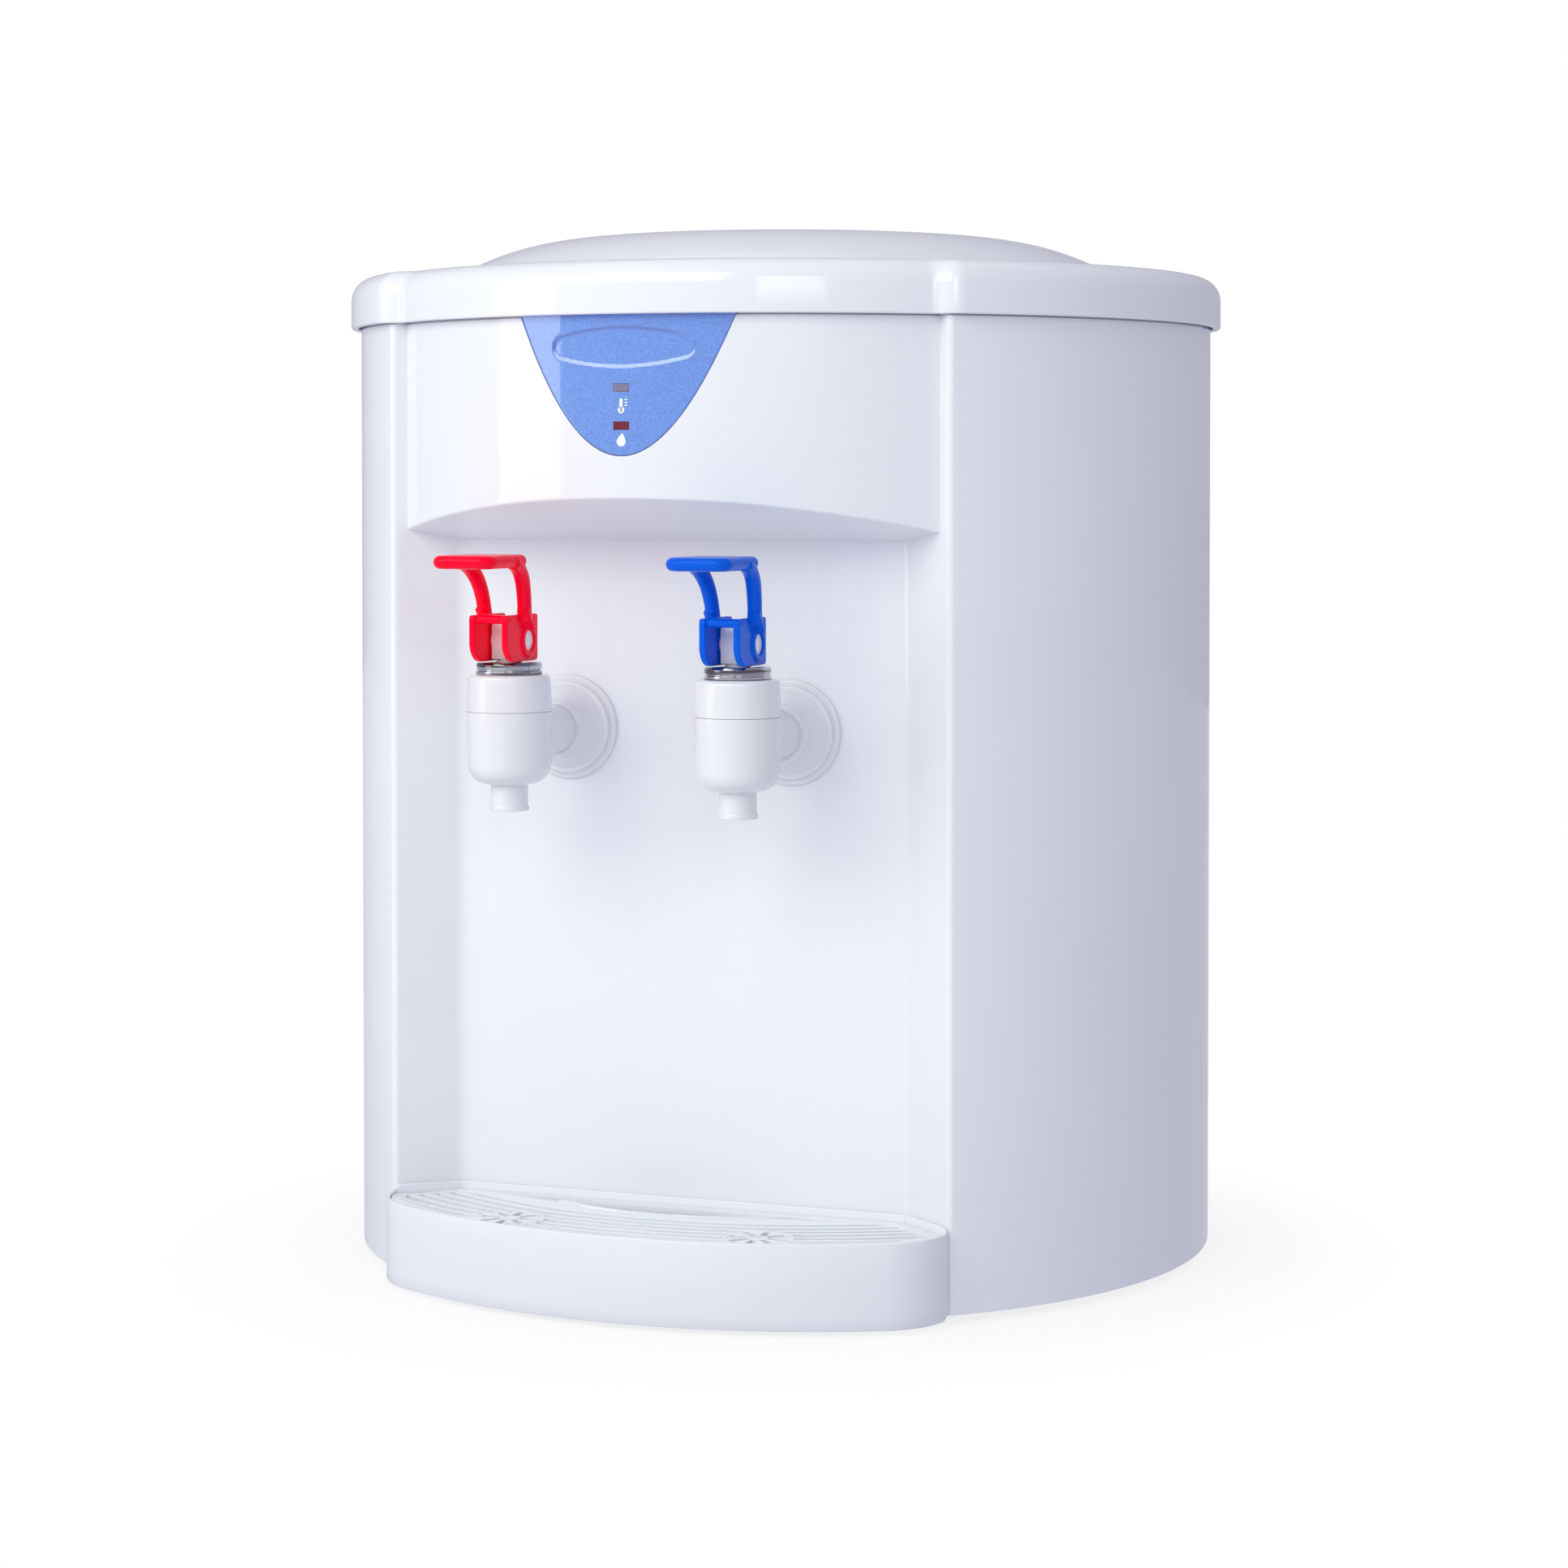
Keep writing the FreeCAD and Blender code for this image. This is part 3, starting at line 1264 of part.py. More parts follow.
def make_shelf():
    """The plate across the casing that carries the reservoir, dished round its edge."""
    top = S.reservoir_bottom
    low = top - S.shelf_thick
    reach = S.drum_radius - S.wall - S.lap_wall - S.fit * 2
    disc = slab("shelf_disc", low, top, ("circle", 0, 0, reach))
    front = S.wall + S.shelf_setback - NICHE_BACK
    ahead = box("shelf_ahead", (-CLEAR, -CLEAR, low - 1), (CLEAR, front, top + CLEAR))
    holes = [rod("shelf_hole", S.hose_radius + S.clamp_wall + 1, size(20), x, y, low - 5)
             for x, y in ((S.tap_x, -S.cold_stub_y), (S.feed_x, S.tank_y), (S.tank_x, S.vent_y))]
    rim = slab("shelf_rim_ring", top, top + S.shelf_rim,
               ("circle", 0, 0, S.reservoir_radius + S.fit + 2),
               ("circle", 0, 0, S.reservoir_radius + S.fit))
    finish(cut("reservoir_shelf", fuse("shelf_whole", disc, rim), ahead, *holes), "reservoir_shelf")


def make_tank():
    low = S.tank_bottom
    high = low + S.tank_height
    out = S.tank_radius
    wall = S.tank_wall
    turn = S.tank_round
    vessel = turned("tank_vessel", [
        (0, low), (out - turn, low), (out, low + turn, turn), (out, high - turn),
        (out - turn, high, turn), (S.stub_radius, high), (S.stub_radius, high - wall),
        (out - turn, high - wall), (out - wall, high - turn, -(turn - wall)),
        (out - wall, low + turn), (out - turn, low + wall, -(turn - wall)), (0, low + wall)],
        S.tank_x, S.tank_y)
    lid = rod("tank_lid", S.stub_radius + 1, wall, S.tank_x, S.tank_y, high - wall)
    spots = [(-S.tap_x, -S.outlet_y), (S.tank_x, S.vent_y)]
    stubs = [stub("tank_stub", x, y, high - wall / 2, S.stub_length) for x, y in spots]
    bores = [rod("tank_bore", S.arm_bore, S.stub_length + 10, x, y, high - 5) for x, y in spots]
    feed = rod("tank_feed", S.stub_radius, S.stub_length + 3, S.tank_x + out - 3, S.tank_y,
               S.feed_level, "x")
    feed_bore = rod("tank_feed_bore", S.arm_bore, S.stub_length + 8, S.tank_x + out - 6, S.tank_y,
                    S.feed_level, "x")
    drain = rod("tank_drain", S.stub_radius, S.stub_length + 3, S.tank_x, S.tank_y + out - 3,
                S.feed_level, "y")
    drain_bore = rod("tank_drain_bore", S.arm_bore, S.stub_length + 8, S.tank_x,
                     S.tank_y + out - 6, S.feed_level, "y")
    whole = fuse("tank_whole", vessel, lid, feed, drain, *stubs)
    finish(cut("hot_tank", whole, feed_bore, drain_bore, *bores), "hot_tank")

    stand_bore = S.stand_radius - S.stand_wall
    stand_top = low + turn - leg(turn, stand_bore - (out - turn)) - S.close_fit
    base = S.base_thick
    ring = turned("stand_ring", [
        (stand_bore, base), (S.stand_flange, base), (S.stand_flange, base + S.stand_wall),
        (S.stand_radius, base + S.stand_wall), (S.stand_radius, stand_top), (stand_bore, stand_top)],
        S.tank_x, S.tank_y)
    windows = [box("stand_window", (S.tank_x - CLEAR / 2, S.tank_y - S.stand_window / 2, base + 8),
                   (S.tank_x + CLEAR / 2, S.tank_y + S.stand_window / 2, stand_top - 8)),
               box("stand_window", (S.tank_x - S.stand_window / 2, S.tank_y - CLEAR / 2, base + 8),
                   (S.tank_x + S.stand_window / 2, S.tank_y + CLEAR / 2, stand_top - 8))]
    finish(cut("tank_stand", ring, *windows), "tank_stand")
    make_heater()
    make_thermostats(high)


def make_heater():
    inner = S.tank_radius + S.close_fit
    low = S.heater_level
    band = turned("band", [(inner, low), (inner + S.heater_wall, low),
                           (inner + S.heater_wall, low + S.heater_height),
                           (inner, low + S.heater_height)], S.tank_x, S.tank_y)
    reach = inner + S.heater_wall
    split = box("band_split", (S.tank_x - reach - 5, S.tank_y - 2, low - 1),
                (S.tank_x - reach + 10, S.tank_y + 2, low + S.heater_height + 1))
    lugs = [box("band_lug", (S.tank_x - reach - S.heater_lug, S.tank_y + shift, low + 3),
                (S.tank_x - reach + 1, S.tank_y + shift + 1.5, low + S.heater_height - 3))
            for shift in (-3.5, 2.0)]
    finish(fuse("band_heater", cut("band_open", band, split), *lugs), "band_heater")
    low = S.jacket_level
    finish(turned("jacket", [(inner, low), (inner + S.jacket_wall, low),
                             (inner + S.jacket_wall, low + S.jacket_height),
                             (inner, low + S.jacket_height)], S.tank_x, S.tank_y),
           "tank_insulation")


def make_thermostats(level):
    for label, shift in (("keep_warm_thermostat", -12), ("heating_thermostat", 12)):
        x = S.tank_x + shift + 6
        y = S.tank_y - S.thermostat_y
        cup = turned(label + "_cup", [
            (0, level), (S.thermostat_radius, level),
            (S.thermostat_radius, level + S.thermostat_height - 2),
            (S.thermostat_radius - 2, level + S.thermostat_height),
            (0, level + S.thermostat_height)], x, y)
        blades = [box(label + "_blade", (x + hand * 4 - 0.4, y - 2, level + 5),
                      (x + hand * 4 + 0.4, y + 2, level + S.thermostat_height + 6))
                  for hand in (-1, 1)]
        finish(fuse(label, cup, *blades), label)


def bent_hose(name, x, y, z, run, drop, turn):
    """A hose that drops from x, y, z, bends once and runs level for run."""
    body = doc.addObject("PartDesign::Body", name)
    ring = sketch_on(body, "XY_Plane", 0, [("circle", 0, 0, S.hose_radius),
                                           ("circle", 0, 0, S.stub_radius + S.close_fit)])
    bend = S.hose_bend
    path = sketch_on(body, "XZ_Plane", 0, [[(0, 0), (0, -drop + bend), (bend, -drop, bend),
                                            (run, -drop)]], closed=False)
    pipe = body.newObject("PartDesign::AdditivePipe", name + "_pipe")
    pipe.Profile = ring
    pipe.Spine = (path, ["Edge1", "Edge2", "Edge3"])
    return place(body, x, y, z, FreeCAD.Rotation(FreeCAD.Vector(0, 0, 1), turn))


def make_hoses():
    shank_end = -NICHE_BACK + S.wall + S.shank_length
    gap = S.seat_gap
    bottom = S.reservoir_bottom - gap
    finish(bent_hose("cold_hose", S.tap_x, -S.cold_stub_y, bottom,
                     -S.cold_stub_y - shank_end - gap, bottom - S.arm_level, -90), "cold_tap_hose")
    finish(bent_hose("feed_hose", S.feed_x, S.tank_y, bottom,
                     S.feed_x - S.tank_x - S.tank_radius - gap,
                     bottom - S.feed_level, 180), "tank_feed_hose")
    tank_top = S.tank_bottom + S.tank_height
    hose = doc.addObject("PartDesign::Body", "hot_hose")
    ring = sketch_on(hose, "XY_Plane", 0, [("circle", 0, 0, S.hose_radius),
                                           ("circle", 0, 0, S.stub_radius + S.close_fit)])
    bend = S.hose_bend
    rise = S.arm_level - tank_top - gap
    run = -S.outlet_y - shank_end - gap
    path = sketch_on(hose, "YZ_Plane", 0, [[(0, 0), (0, rise - bend), (-bend, rise, bend),
                                            (-run, rise)]], closed=False)
    pipe = hose.newObject("PartDesign::AdditivePipe", "hot_hose_pipe")
    pipe.Profile = ring
    pipe.Spine = (path, ["Edge1", "Edge2", "Edge3"])
    place(hose, -S.tap_x, -S.outlet_y, tank_top + gap)
    finish(hose, "hot_tap_hose")
    inner = S.stub_radius + S.close_fit
    finish(turned("vent_hose", [(inner, tank_top + gap), (S.hose_radius, tank_top + gap),
                                (S.hose_radius, bottom), (inner, bottom)], S.tank_x, S.vent_y),
           "vent_hose")
    start = S.tank_y + S.tank_radius + gap
    end = SERVICE_BACK - S.wall - 3
    finish(turned_lying("drain_hose", [(inner, start), (S.hose_radius, start),
                                       (S.hose_radius, end), (inner, end)],
                        S.tank_x, S.feed_level), "drain_hose")


def make_clamps():
    inner = S.hose_radius + S.close_fit
    outer = inner + S.clamp_wall
    width = S.clamp_width
    tank_top = S.tank_bottom + S.tank_height
    bands = []
    for x, y, z in ((S.tap_x, -S.cold_stub_y, S.reservoir_bottom - width - 2),
                    (S.feed_x, S.tank_y, S.reservoir_bottom - width - 2),
                    (S.tank_x, S.vent_y, S.reservoir_bottom - width - 2),
                    (S.tank_x, S.vent_y, tank_top + 3)):
        bands.append(turned("clamp", [(inner, 0), (outer, 0), (outer, width), (inner, width)],
                            x, y, z))
    shank_end = -NICHE_BACK + S.wall + S.shank_length
    for x in (-S.tap_x, S.tap_x):
        bands.append(turned_lying("clamp", [(inner, shank_end + 2), (outer, shank_end + 2),
                                            (outer, shank_end + 2 + width),
                                            (inner, shank_end + 2 + width)], x, S.arm_level))
    start = S.tank_y + S.tank_radius + 3
    bands.append(turned_lying("clamp", [(inner, start), (outer, start), (outer, start + width),
                                        (inner, start + width)], S.tank_x, S.feed_level))
    finish(compound("hose_clamps", bands), "hose_clamps")


# ---------------------------------------------------------------- service face at the back

def make_switch():
    face = SERVICE_BACK
    x = S.switch_x
    z = S.switch_level
    half = S.bezel_width / 2
    tall = S.bezel_height / 2
    bezel = box("bezel", (x - half, face, z - tall), (x + half, face + S.bezel_thick, z + tall))
    half = S.switch_width / 2
    tall = S.switch_height / 2
    body = box("switch_box", (x - half, face - S.switch_depth, z - tall),
               (x + half, face + 0.5, z + tall))
    half = S.rocker_width / 2 + S.fit + 0.1
    tall = S.rocker_length / 2 + 0.8
    room = box("rocker_room", (x - half, face - S.rocker_depth - 3, z - tall),
               (x + half, face + 10, z + tall))
    pivot = face - 1
    pin = rod("rocker_pin_hole", S.rocker_pin + S.running_fit, S.rocker_width + 2.4,
              x - S.rocker_width / 2 - 1.2, pivot, z, "x")
    blades = [box("switch_blade", (x - 2.5, face - S.switch_depth - 7, z + shift),
                  (x + 2.5, face - S.switch_depth + 1, z + shift + 0.8)) for shift in (-9, 0, 9)]
    frame = cut("switch_frame", fuse("switch_whole", bezel, body, *blades), room, pin)
    finish(frame, "switch_frame")

    rise = S.rocker_rise
    long = S.rocker_length / 2
    deep = S.rocker_depth
    rocker = side_slab("rocker_block", -S.rocker_width / 2, S.rocker_width / 2,
                       [(1 - deep, -long + 4), (1 - deep, long - 4), (1.5, long), (rise + 1.6, long),
                        (rise, 0), (rise + 1.6, -long), (1.5, -long)][::-1])
    axle = rod("rocker_axle", S.rocker_pin, S.rocker_width + 2, -S.rocker_width / 2 - 1, 0, 0, "x")
    whole = fuse("rocker", rocker, axle)
    tilt = FreeCAD.Rotation(FreeCAD.Vector(1, 0, 0), -SIZES["rocker_tilt"])
    place(whole, x, pivot, z, tilt)
    finish(whole, "power_rocker")


def make_gland():
    face = SERVICE_BACK
    finish(turned_lying("gland", [
        (S.gland_bore, face - S.wall - 4), (S.gland_radius + 1, face - S.wall - 4),
        (S.gland_radius + 1, face - S.wall - S.seat_gap), (S.gland_radius, face - S.wall - S.seat_gap),
        (S.gland_radius, face), (S.gland_flange, face), (S.gland_flange, face + 2),
        (S.gland_flange - 2, face + 3), (S.gland_bore + 1.4, face + 3 + S.gland_nose),
        (S.gland_bore, face + 3 + S.gland_nose)], S.gland_x, S.gland_level), "cord_gland")


def make_drain():
    face = SERVICE_BACK
    out = S.drain_radius
    x = S.tank_x
    z = S.feed_level
    inner = face - S.wall
    finish(turned_lying("drain_fitting", [
        (S.arm_bore, inner - 18), (S.stub_radius, inner - 18), (S.stub_radius, inner - 3),
        (S.drain_flange, inner - 3), (S.drain_flange, inner), (out, inner),
        (out, face + S.drain_reach), (S.arm_bore, face + S.drain_reach)], x, z), "drain_fitting")
    wall = S.drain_cap_wall
    bore = out + S.fit + 0.05
    end = face + S.drain_reach + S.fit
    cap = turned_lying("drain_cap_shell", [
        (0, end), (bore, end), (bore, face + 1), (bore + wall, face + 1), (bore + wall, end + 1),
        (bore + wall - 1, end + 2), (0, end + 2)], x, z)
    turns = range(12)
    reach = bore + wall + 0.7
    notches = [rod("grip_notch", size(1.4), size(30), x + reach * math.cos(math.radians(30 * n)),
                   face, z + reach * math.sin(math.radians(30 * n)), "y") for n in turns]
    finish(cut("drain_cap", cap, *notches), "drain_cap")


def make_terminal_block():
    x = S.gland_x
    y = SERVICE_BACK - S.block_setback
    z = S.base_thick
    body = box("terminal_body", (x - S.block_width / 2, y - S.block_depth / 2, z),
               (x + S.block_width / 2, y + S.block_depth / 2, z + S.block_height))
    cells = []
    for step in (-1, 0, 1):
        middle = x + step * S.block_width / 3.2
        cells.append(rod("terminal_well", size(3), size(6), middle, y - 4.5,
                         z + S.block_height - 5))
        cells.append(rod("terminal_well", size(3), size(6), middle, y + 4.5,
                         z + S.block_height - 5))
        cells.append(rod("terminal_way", size(1.8), S.block_depth + 2, middle,
                         y - S.block_depth / 2 - 1, z + 6, "y"))
    finish(cut("terminal_block", body, *cells), "terminal_block")


# ---------------------------------------------------------------- build, check and write

make_front_casing()
make_rear_casing()
make_base_plate()
make_feet()
make_base_screws()
make_top_cover()
make_drip_tray()
make_grille()
make_badge()
make_lamps()
for side_name, side_x in (("hot", -S.tap_x), ("cold", S.tap_x)):
    make_tap(side_name, side_x)
    make_lever(side_name, side_x)
make_reservoir()
make_shelf()
make_tank()
make_hoses()
make_clamps()
make_switch()
make_gland()
make_drain()
make_terminal_block()

doc.recompute()

for thing in doc.Objects:
    if "Invalid" in thing.State or "Error" in thing.State:
        raise RuntimeError("%s did not build: %s" % (thing.Name, thing.State))
os.makedirs("parts", exist_ok=True)
for thing in parts:
    if thing.Shape.isNull() or not thing.Shape.isValid() or not thing.Shape.Solids:
        raise RuntimeError("%s has no valid shape" % thing.Label)
for thing in parts:
    thing.Shape.exportStep("parts/%s.step" % thing.Label)
    print("%-24s %d solid(s) %10.1f mm3" % (thing.Label, len(thing.Shape.Solids),
                                            thing.Shape.Volume))
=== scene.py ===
"""Looks of a countertop water dispenser with a hot tap and a normal tap.

Laid out as an add-on: sizes and finishes to change, one operator for each piece or group of like
pieces, and one for the stage.  New pieces are surfaces worked out as whole arrays.  Sizes are in
metres, and plan outlines are measured from the drum's axis, with the taps towards -Y.
"""
import json
import math
from contextlib import contextmanager

import bmesh
import bpy
import numpy as np
from bpy.props import FloatProperty, FloatVectorProperty, PointerProperty
from bpy.types import Operator, Panel, PropertyGroup
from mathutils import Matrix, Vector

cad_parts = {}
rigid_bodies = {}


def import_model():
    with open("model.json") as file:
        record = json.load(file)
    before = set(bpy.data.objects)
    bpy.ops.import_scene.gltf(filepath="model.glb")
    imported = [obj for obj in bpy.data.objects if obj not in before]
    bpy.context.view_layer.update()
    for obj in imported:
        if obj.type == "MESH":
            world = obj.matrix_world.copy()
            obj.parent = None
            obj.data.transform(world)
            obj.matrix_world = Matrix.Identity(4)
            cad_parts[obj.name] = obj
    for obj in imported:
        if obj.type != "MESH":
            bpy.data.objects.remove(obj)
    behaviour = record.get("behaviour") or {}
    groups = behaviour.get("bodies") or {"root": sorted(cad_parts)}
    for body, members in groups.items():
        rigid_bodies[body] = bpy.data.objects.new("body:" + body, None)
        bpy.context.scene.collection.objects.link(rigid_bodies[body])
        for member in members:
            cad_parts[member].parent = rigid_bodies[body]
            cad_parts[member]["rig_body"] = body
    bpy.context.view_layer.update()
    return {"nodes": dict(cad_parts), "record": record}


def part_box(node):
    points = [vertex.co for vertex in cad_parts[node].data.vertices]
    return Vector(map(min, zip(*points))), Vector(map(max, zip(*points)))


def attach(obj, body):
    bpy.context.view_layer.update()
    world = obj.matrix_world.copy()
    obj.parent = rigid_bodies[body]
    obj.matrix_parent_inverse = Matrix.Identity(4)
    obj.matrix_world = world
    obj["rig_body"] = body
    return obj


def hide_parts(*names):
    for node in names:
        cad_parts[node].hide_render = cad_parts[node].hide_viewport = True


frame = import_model()

bl_info = {
    "name": "Countertop Water Dispenser",
    "version": (1, 0, 0),
    "blender": (4, 2, 0),
    "location": "3D View > Sidebar > Dispenser",
    "description": "Builds the casing, cover, tray, taps and finishes of a water dispenser",
    "category": "Add Mesh",
}

MM = 0.001
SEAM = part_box("rear_casing")
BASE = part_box("front_casing")[0].z
NODES = {part["node"]: part["material_slot"] for part in frame["record"]["subparts"]}
TAPS = ("hot", "cold")
WINDOWS = ("keep_warm_window", "heating_window")
# Heights are above the casing's lower edge.
LAP = 10 * MM               # the two casings meet this far behind the axis
SERVICE_FACE = 138 * MM     # from the axis to the flat on the casing's back
SERVICE_LEVELS = (18 * MM, 118 * MM)            # lower and upper edge of that flat
VENTS = 26 * MM             # half the width of the vent field
VENT_LEVELS = 236 * MM + np.arange(6)[:, None] * 8 * MM + np.array([0, 3 * MM])
SILL = 0.45 * MM            # the casing steps in this far below the skirt's edge
TAP_HOLE = 7.3 * MM         # radius of the hole for a tap's shank
THROAT = 29 * MM            # radius of the bottle's throat
TRAY_UNDER, TRAY_FLOOR = 3.2 * MM, 5.4 * MM     # both faces of the tray's floor
TRAY_SKIRT = -1.2 * MM      # lower edge of the tray's front
BADGE_TOP = 3 * MM          # the badge runs up behind the skirt by this
OVAL_LEVEL = 309 * MM       # middle of the oval relief
WARM_MARK, HEAT_MARK = 290.4 * MM, 278.9 * MM   # middles of the two marks
ARM_LEVEL = 184 * MM        # axis of a tap's arm
PIVOT_LEVEL = 215.1 * MM    # a lever's pin


# ---- sizes and finishes

def length(name, text, value):
    """A size in metres."""
    return FloatProperty(name=name, description=text, default=value, unit="LENGTH")


def share(name, text, value):
    """A number from 0 to 1."""
    return FloatProperty(name=name, description=text, default=value, min=0, max=1,
                         subtype="FACTOR")


def colour(name, text, value):
    """A colour, as linear red, green and blue."""
    return FloatVectorProperty(name=name, description=text, default=value, size=3, min=0, max=1,
                               subtype="COLOR")


class DispenserSizes(PropertyGroup):
    """Sizes of the casing, cover, tray, badge and taps."""

    drum: length("Drum radius", "Radius of the round casing", 0.150)
    wall: length("Wall", "Thickness of the casing", 0.0025)
    corner: length("Corner", "Rounding between the drum and the niche's splayed wall", 0.0022)
    splay: FloatProperty(name="Splay", description="Niche's half width gained per length ahead",
                         default=1.30)
    niche: length("Niche half width", "Half the niche's width at its back", 0.0798)
    niche_back: length("Niche back", "From the axis to the niche's back wall", 0.09843)
    niche_round: length("Niche corners", "Rounding in the niche's back corners", 0.008)
    niche_top: length("Niche top", "Height of the niche at its back", 0.2466)
    climb: length("Underside rise", "How far the niche's ceiling climbs to the front", 0.0140)
    fascia: length("Fascia radius", "Radius of the bowed panel above the taps", 0.140)
    fascia_reach: length("Fascia reach", "From the axis to the middle of that panel", 0.14654)
    top: length("Casing top", "Upper edge of the casing, inside the cover", 0.33186)
    step: length("Step", "How far the casing steps in under the cover's skirt", 0.001)
    skirt: length("Skirt level", "Lower edge of the cover's skirt", 0.3193)
    skirt_height: length("Skirt height", "Height of the cover's skirt", 0.0177)
    overhang: length("Overhang", "How far the cover stands out from the drum", 0.00349)
    cover_round: length("Cover rounding", "Rounding along the cover's upper edge", 0.008)
    cover_corner: length("Cover corners", "Rounding of the cover's two front corners", 0.005)
    cover_dent: length("Cover dents", "Rounding of the dents beside those corners", 0.0075)
    collar: length("Collar foot", "Radius where the bottle collar starts", 0.118)
    rise: length("Collar rise", "Height of the bottle collar", 0.0135)
    rim: length("Rim radius", "Radius of the collar's rim", 0.0745)
    bow: length("Tray bow", "Radius of the drip tray's front", 0.1814)
    bow_end: length("Tray end", "Radius of the drip tray's ends", 0.0252)
    bow_reach: length("Tray reach", "From the axis to the tray's front", 0.15602)
    shoulder: length("Tray shoulder", "From the axis to the middles of the tray's ends", 0.1124)
    tray: length("Tray height", "Height of the drip tray", 0.0265)
    lip: length("Tray lip", "Height of the lip along the niche's walls", 0.002)
    badge: length("Badge half width", "Half the badge's width at its top", 0.0387)
    badge_drop: length("Badge height", "From the badge's top edge to its tip", 0.048)
    oval: length("Oval half width", "Half the length of the oval relief", 0.0245)
    barrel: length("Barrel radius", "Radius of a tap's barrel", 0.0139)
    collar_ring: length("Metal collar", "Radius of a tap's metal collar", 0.0107)
    plate: length("Wall plate", "Radius of a tap's wall plate", 0.0173)
    paddle: length("Paddle half width", "Half the width of a lever's paddle", 0.0110)
    paddle_length: length("Paddle length", "Length of a lever's paddle", 0.0292)


class DispenserFinishes(PropertyGroup):
    """Colours and gloss."""

    shell: colour("Casing", "Glossy moulded white of the casing", (0.80, 0.82, 0.89))
    tap: colour("Taps", "White of the tap barrels", (0.75, 0.76, 0.82))
    milky: colour("Stem", "Milky plastic of the stems", (0.90, 0.89, 0.93))
    red: colour("Hot lever", "Red of the hot lever", (1.0, 0.0, 0.03))
    blue: colour("Normal lever", "Blue of the other lever", (0.0, 0.105, 0.72))
    badge: colour("Badge", "Blue of the badge", (0.115, 0.26, 0.74))
    lilac: colour("Keep-warm window", "Unlit keep-warm window", (0.22, 0.19, 0.33))
    garnet: colour("Heating window", "Unlit heating window", (0.16, 0.0, 0.018))
    metal: colour("Collar metal", "Bright metal of the collars", (0.48, 0.48, 0.52))
    gloss: share("Casing roughness", "Roughness of the casing", 0.07)


def sizes():
    """The scene's present sizes."""
    return bpy.context.scene.dispenser_sizes


# ---- lines and surfaces

def unit(line):
    """The same directions, each one unit long."""
    return line / np.maximum(np.linalg.norm(line, axis=-1, keepdims=True), 1e-12)


def left_of(line):
    """The direction square to a flat one, on its left."""
    return unit(np.array([-line[1], line[0]]))


def rounded_line(corners, radii, steps=7):
    """Straight runs whose corners are arcs.  Each arc touches both runs at its radius divided by
    the tangent of half the angle between them, and is turned evenly from one touch to the other.
    Corners may have leading dimensions, and the arcs' points come in order."""
    spot = np.asarray(corners, float)
    radius = np.broadcast_to(np.asarray(radii, float), spot.shape[:-1])[..., None]
    back, on = unit(np.roll(spot, 1, -2) - spot), unit(np.roll(spot, -1, -2) - spot)
    cosine = np.clip((back * on).sum(-1, keepdims=True), -0.999999, 0.999999)
    half = np.arccos(cosine) / 2
    reach = radius / np.tan(half)
    centre = spot + unit(back + on) * radius / np.sin(half)
    first, last = spot + back * reach - centre, spot + on * reach - centre
    turn = (math.pi - 2 * half)[..., None, :]
    part = np.linspace(0, 1, steps)[:, None]
    arcs = (centre[..., None, :] + (np.sin((1 - part) * turn) * first[..., None, :]
            + np.sin(part * turn) * last[..., None, :]) / np.sin(turn))
    arcs = np.where(radius[..., None] > 0, arcs, spot[..., None, :])
    return arcs.reshape(*spot.shape[:-2], -1, spot.shape[-1])


def evenly(line, step, extra=()):
    """The same line with more points: its own, the extra values of its first coordinate, and
    points so that no run is longer than step."""
    run = np.r_[0, np.cumsum(np.linalg.norm(np.diff(line, axis=0), axis=1))]
    keep = np.r_[True, np.diff(run) > 1e-9]
    run, line = run[keep], line[keep]
    count = np.maximum(1, np.ceil(np.diff(run) / step).astype(int))
    start = np.repeat(np.arange(len(count)), count)
    part = (np.arange(count.sum()) - np.repeat(np.cumsum(count) - count, count)) / count[start]
    spots = np.r_[run[start] + part * np.diff(run)[start], run[-1]]
    if len(extra):
        order = np.argsort(line[:, 0])
        spots = np.unique(np.r_[spots, np.interp(extra, line[order, 0], run[order])])
    return np.stack([np.interp(spots, run, line[:, axis]) for axis in range(line.shape[1])], -1)


def rounded(rows, steps=8):
    """A rounded line from rows of two coordinates and the rounding there."""
    rows = np.array(rows, float)
    return rounded_line(rows[:, :2], rows[:, 2], steps)


def full_turn(count):
    """Even turns all the way round."""
    return np.linspace(0, 2 * math.pi, count, endpoint=False)


def bunched(count):
    """From 0 to 1, closer together towards both ends: a half less half the cosine."""
    return 0.5 - 0.5 * np.cos(np.linspace(0, math.pi, count))


def arc(centre, radius, start, stop, count):
    """Points at even turns about a centre, from one angle to another, in degrees.  Columns of
    radii and angles give an arc for each row."""
    turn = np.radians(start + (stop - start) * np.linspace(0, 1, count))
    return np.stack([centre[0] + radius * np.cos(turn), centre[1] + radius * np.sin(turn)], -1)


def bearing(spot, centre=(0, 0)):
    """The angle at which a spot lies from a centre, in degrees."""
    return math.degrees(math.atan2(spot[1] - centre[1], spot[0] - centre[0]))


def ease(value):
    """Runs from 0 to 1 with level ends: three times the square less twice the cube."""
    value = np.clip(value, 0, 1)
    return value * value * (3 - 2 * value)


def net(grid, round_u=False, round_v=False):
    """Points and four-sided faces of a grid of rows and columns; a closed direction joins its
    last line to its first."""
    rows, cols = grid.shape[:2]
    index = np.arange(rows * cols).reshape(rows, cols)
    if round_v:
        index = np.vstack([index, index[:1]])
    if round_u:
        index = np.hstack([index, index[:, :1]])
    faces = np.stack([index[:-1, :-1], index[:-1, 1:], index[1:, 1:], index[1:, :-1]], -1)
    return grid.reshape(-1, 3), faces.reshape(-1, 4)


